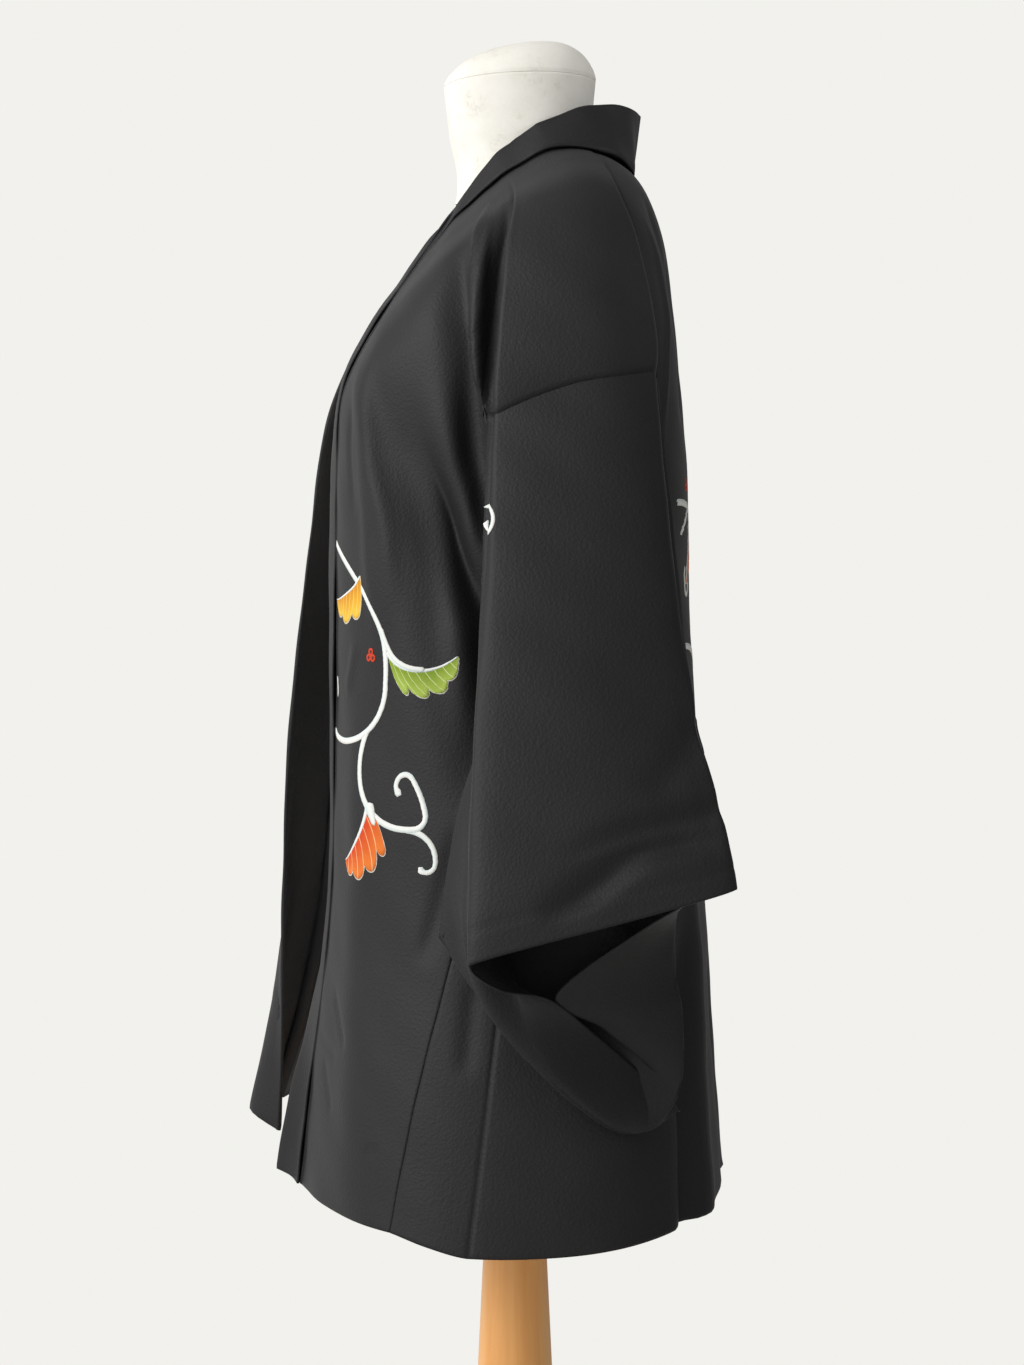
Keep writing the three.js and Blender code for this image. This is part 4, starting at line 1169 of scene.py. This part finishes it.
def paintRightFront():  # the same vine, on the side turned away: it runs lower and opens wider
    on = "body right"
    stem = [(52, -20), (38, -30), (34, -34), (32, -30), (36, -34), (40, -24)]
    stroke(on, (0.5, 1064), -14, stem, 4.2, 4.6, blunt=True)
    curl = [(34, 30), (30, 36), (26, 36), (20, 30), (16, 92), (24, 30), (13, 90), (9, 66)]
    stroke(on, (64, 940), -106, curl, 4.8, 3.6, bud=2.9)
    stroke(on, (112, 862), -8, [(17, -40), (15, -46), (9, -84), (8, -60)], 4.0, 3.2, bud=2.6)
    leaf(on, (94, 1002), -46, [(16, 28), (18, 24), (15, 18), (12, 16)], "orange", 25)
    leaf(on, (54, 1043), -144, [(18, -16), (34, -24)], "green", 26, 4, 1, (50, 80), rib=1.8)
    leaf(on, (72, 876), -98, [(18, -20), (34, -44)], "yellow", 34, 4, 1, (46, 76))
    berries(on, (66, 988))
    berries(on, (128, 930), 2.4)


def paintBack():  # a branch from each side across the centre back
    on = "back"
    berries(on, (104, 1121))
    stroke(on, (132, 1108), 176, [(26, 10), (34, 22), (40, 26), (36, 34), (34, 40)], 4.6, 4.0)
    stroke(on, (118, 1086), 140, [(18, -6), (14, 18)], 4.2, 3.0)
    leaf(on, (90, 1100), -112, [(24, 24), (26, 30)], "orange", 24, 4, -1, (20, 86))
    stroke(on, (98, 1064), -80, [(16, -30), (10, -90), (12, -80)], 3.6, 3.0, bud=2.4)
    leaf(on, (18, 1089), -160, [(24, 30), (24, 34)], "green", 26, 4, 1, (24, 86))
    stroke(on, (120, 1003), 160, [(30, 24), (40, 30), (44, 40), (40, 56)], 4.6, 4.0)
    leaf(on, (102, 1003), -116, [(16, 20), (18, 30)], "orange", 22, 4, -1, (20, 86))
    stroke(on, (10, 1000), -150, [(30, -40), (28, -50), (20, -80), (10, -70)], 4.4, 3.4, bud=2.8)
    stroke(on, (-60, 1096), -70, [(34, -20), (36, -34), (34, -40)], 4.4, 4.0)
    leaf(on, (-70, 1030), -150, [(22, 20), (22, 30)], "yellow", 24, 4, 1, (24, 86))
    berries(on, (-30, 1048))


def paintSleeves():  # only a curl or two shows on each sleeve, near the front
    for on, drop in (("sleeve left", 0), ("sleeve right", 14)):
        stroke(on, (-74, -84 - drop), 12, [(13, -30), (33, -200), (8, -75)], 3.4, 3.0, bud=2.3)
        stroke(on, (-92, -118 - drop), -30, [(14, -24), (10, -40)], 3.2, 2.2, colourName="dark")


paintLeftFront()
paintRightFront()
paintBack()
paintSleeves()
print("vine painted")


def paintPiece(cloth, name):
    made = drawing[cloth]
    piece = meshObject(
        name, np.concatenate(made["points"]), np.concatenate(made["faces"]),
        [paints[key] for key in paintOrder], made["paint"], np.concatenate(made["uv"]),
    )
    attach(piece, "root")
    return piece


for label in ("left", "right"):
    body = "body_" + label
    clothPiece(label + "Body", body, panels["body " + label])
    gusset, sleeve = panels["gusset " + label], panels["sleeve " + label]
    clothPiece(label + "Gusset", "gusset_" + label, gusset)
    clothPiece(label + "Sleeve", "sleeve_" + label, sleeve)
clothPiece("collarBand", "collar", panels["collar"], 1.6)
for cloth in drawing:
    paintPiece(cloth, "paint" + cloth.title().replace(" ", ""))
print("cloth made")


studio = {
    "backdrop": "#f2f1ed",
    "floor": "#e9e8e4",
    "bright": 0.95, "dim": 0.3,  # light from the side of the wearer's front, and from behind
    "key": 40,  # watts; aimed above the form, so that it falls off downwards
    "neck": 165,  # watts, on the back of the form's neck
    "floorRadius": 1500,
}


def makeBackdrop():
    world = bpy.data.worlds.new("studio")
    bpy.context.scene.world = world
    world.use_nodes = True
    world.node_tree.nodes.clear()
    parts = addNode(world, "SeparateXYZ", {0: addNode(world, "TexCoord")})
    level = addNode(world, "MapRange", {
        "Value": parts.outputs["Y"], "From Min": -0.9, "From Max": 0.7,
        "To Min": studio["bright"], "To Max": studio["dim"],
    }, interpolation_type="SMOOTHSTEP")
    backdrop = colour(studio["backdrop"])
    fill = addNode(world, "Background", {"Color": backdrop, "Strength": level})
    seen = addNode(world, "Background", {"Color": backdrop})
    # The camera sees the plain backdrop, and the cloth is lit by the shaded one.
    mix = addNode(world, "MixShader", {"Fac": addNode(world, "LightPath"), 1: fill, 2: seen})
    addNode(world, "OutputWorld", {"Surface": mix})
    around, radius = np.arange(64) / 64 * math.tau, studio["floorRadius"]
    rim = np.column_stack([radius * np.cos(around), radius * np.sin(around), np.full(64, -0.5)])
    shade = {"Base Color": colour(studio["floor"]), "Roughness": 0.9}
    meshObject("floor", rim, [range(64)], [giveFinish(newMaterial("pale paper floor"), shade)])


def addLamp(name, kind, power, place, target, **settings):
    lamp = bpy.data.lights.new(name, kind)
    lamp.energy = power
    for key, value in settings.items():
        setattr(lamp, key, value)
    hung = bpy.data.objects.new(name, lamp)
    bpy.context.collection.objects.link(hung)
    hung.location = place
    hung.rotation_euler = (Vector(target) - hung.location).to_track_quat("-Z", "Y").to_euler()


makeBackdrop()
addLamp("key", "AREA", studio["key"], (1.35, -2.0, 2.15), (0.05, 0, 2.3), shape="DISK", size=1.3)
narrow = {"spot_size": math.radians(8.5), "spot_blend": 1, "shadow_soft_size": 0.25}
addLamp("neck spot", "SPOT", studio["neck"], (1.0, 1.9, 1.9), (0.02, 0.02, 1.41), **narrow)
bpy.context.scene.view_settings.view_transform = "Standard"
print("studio made")
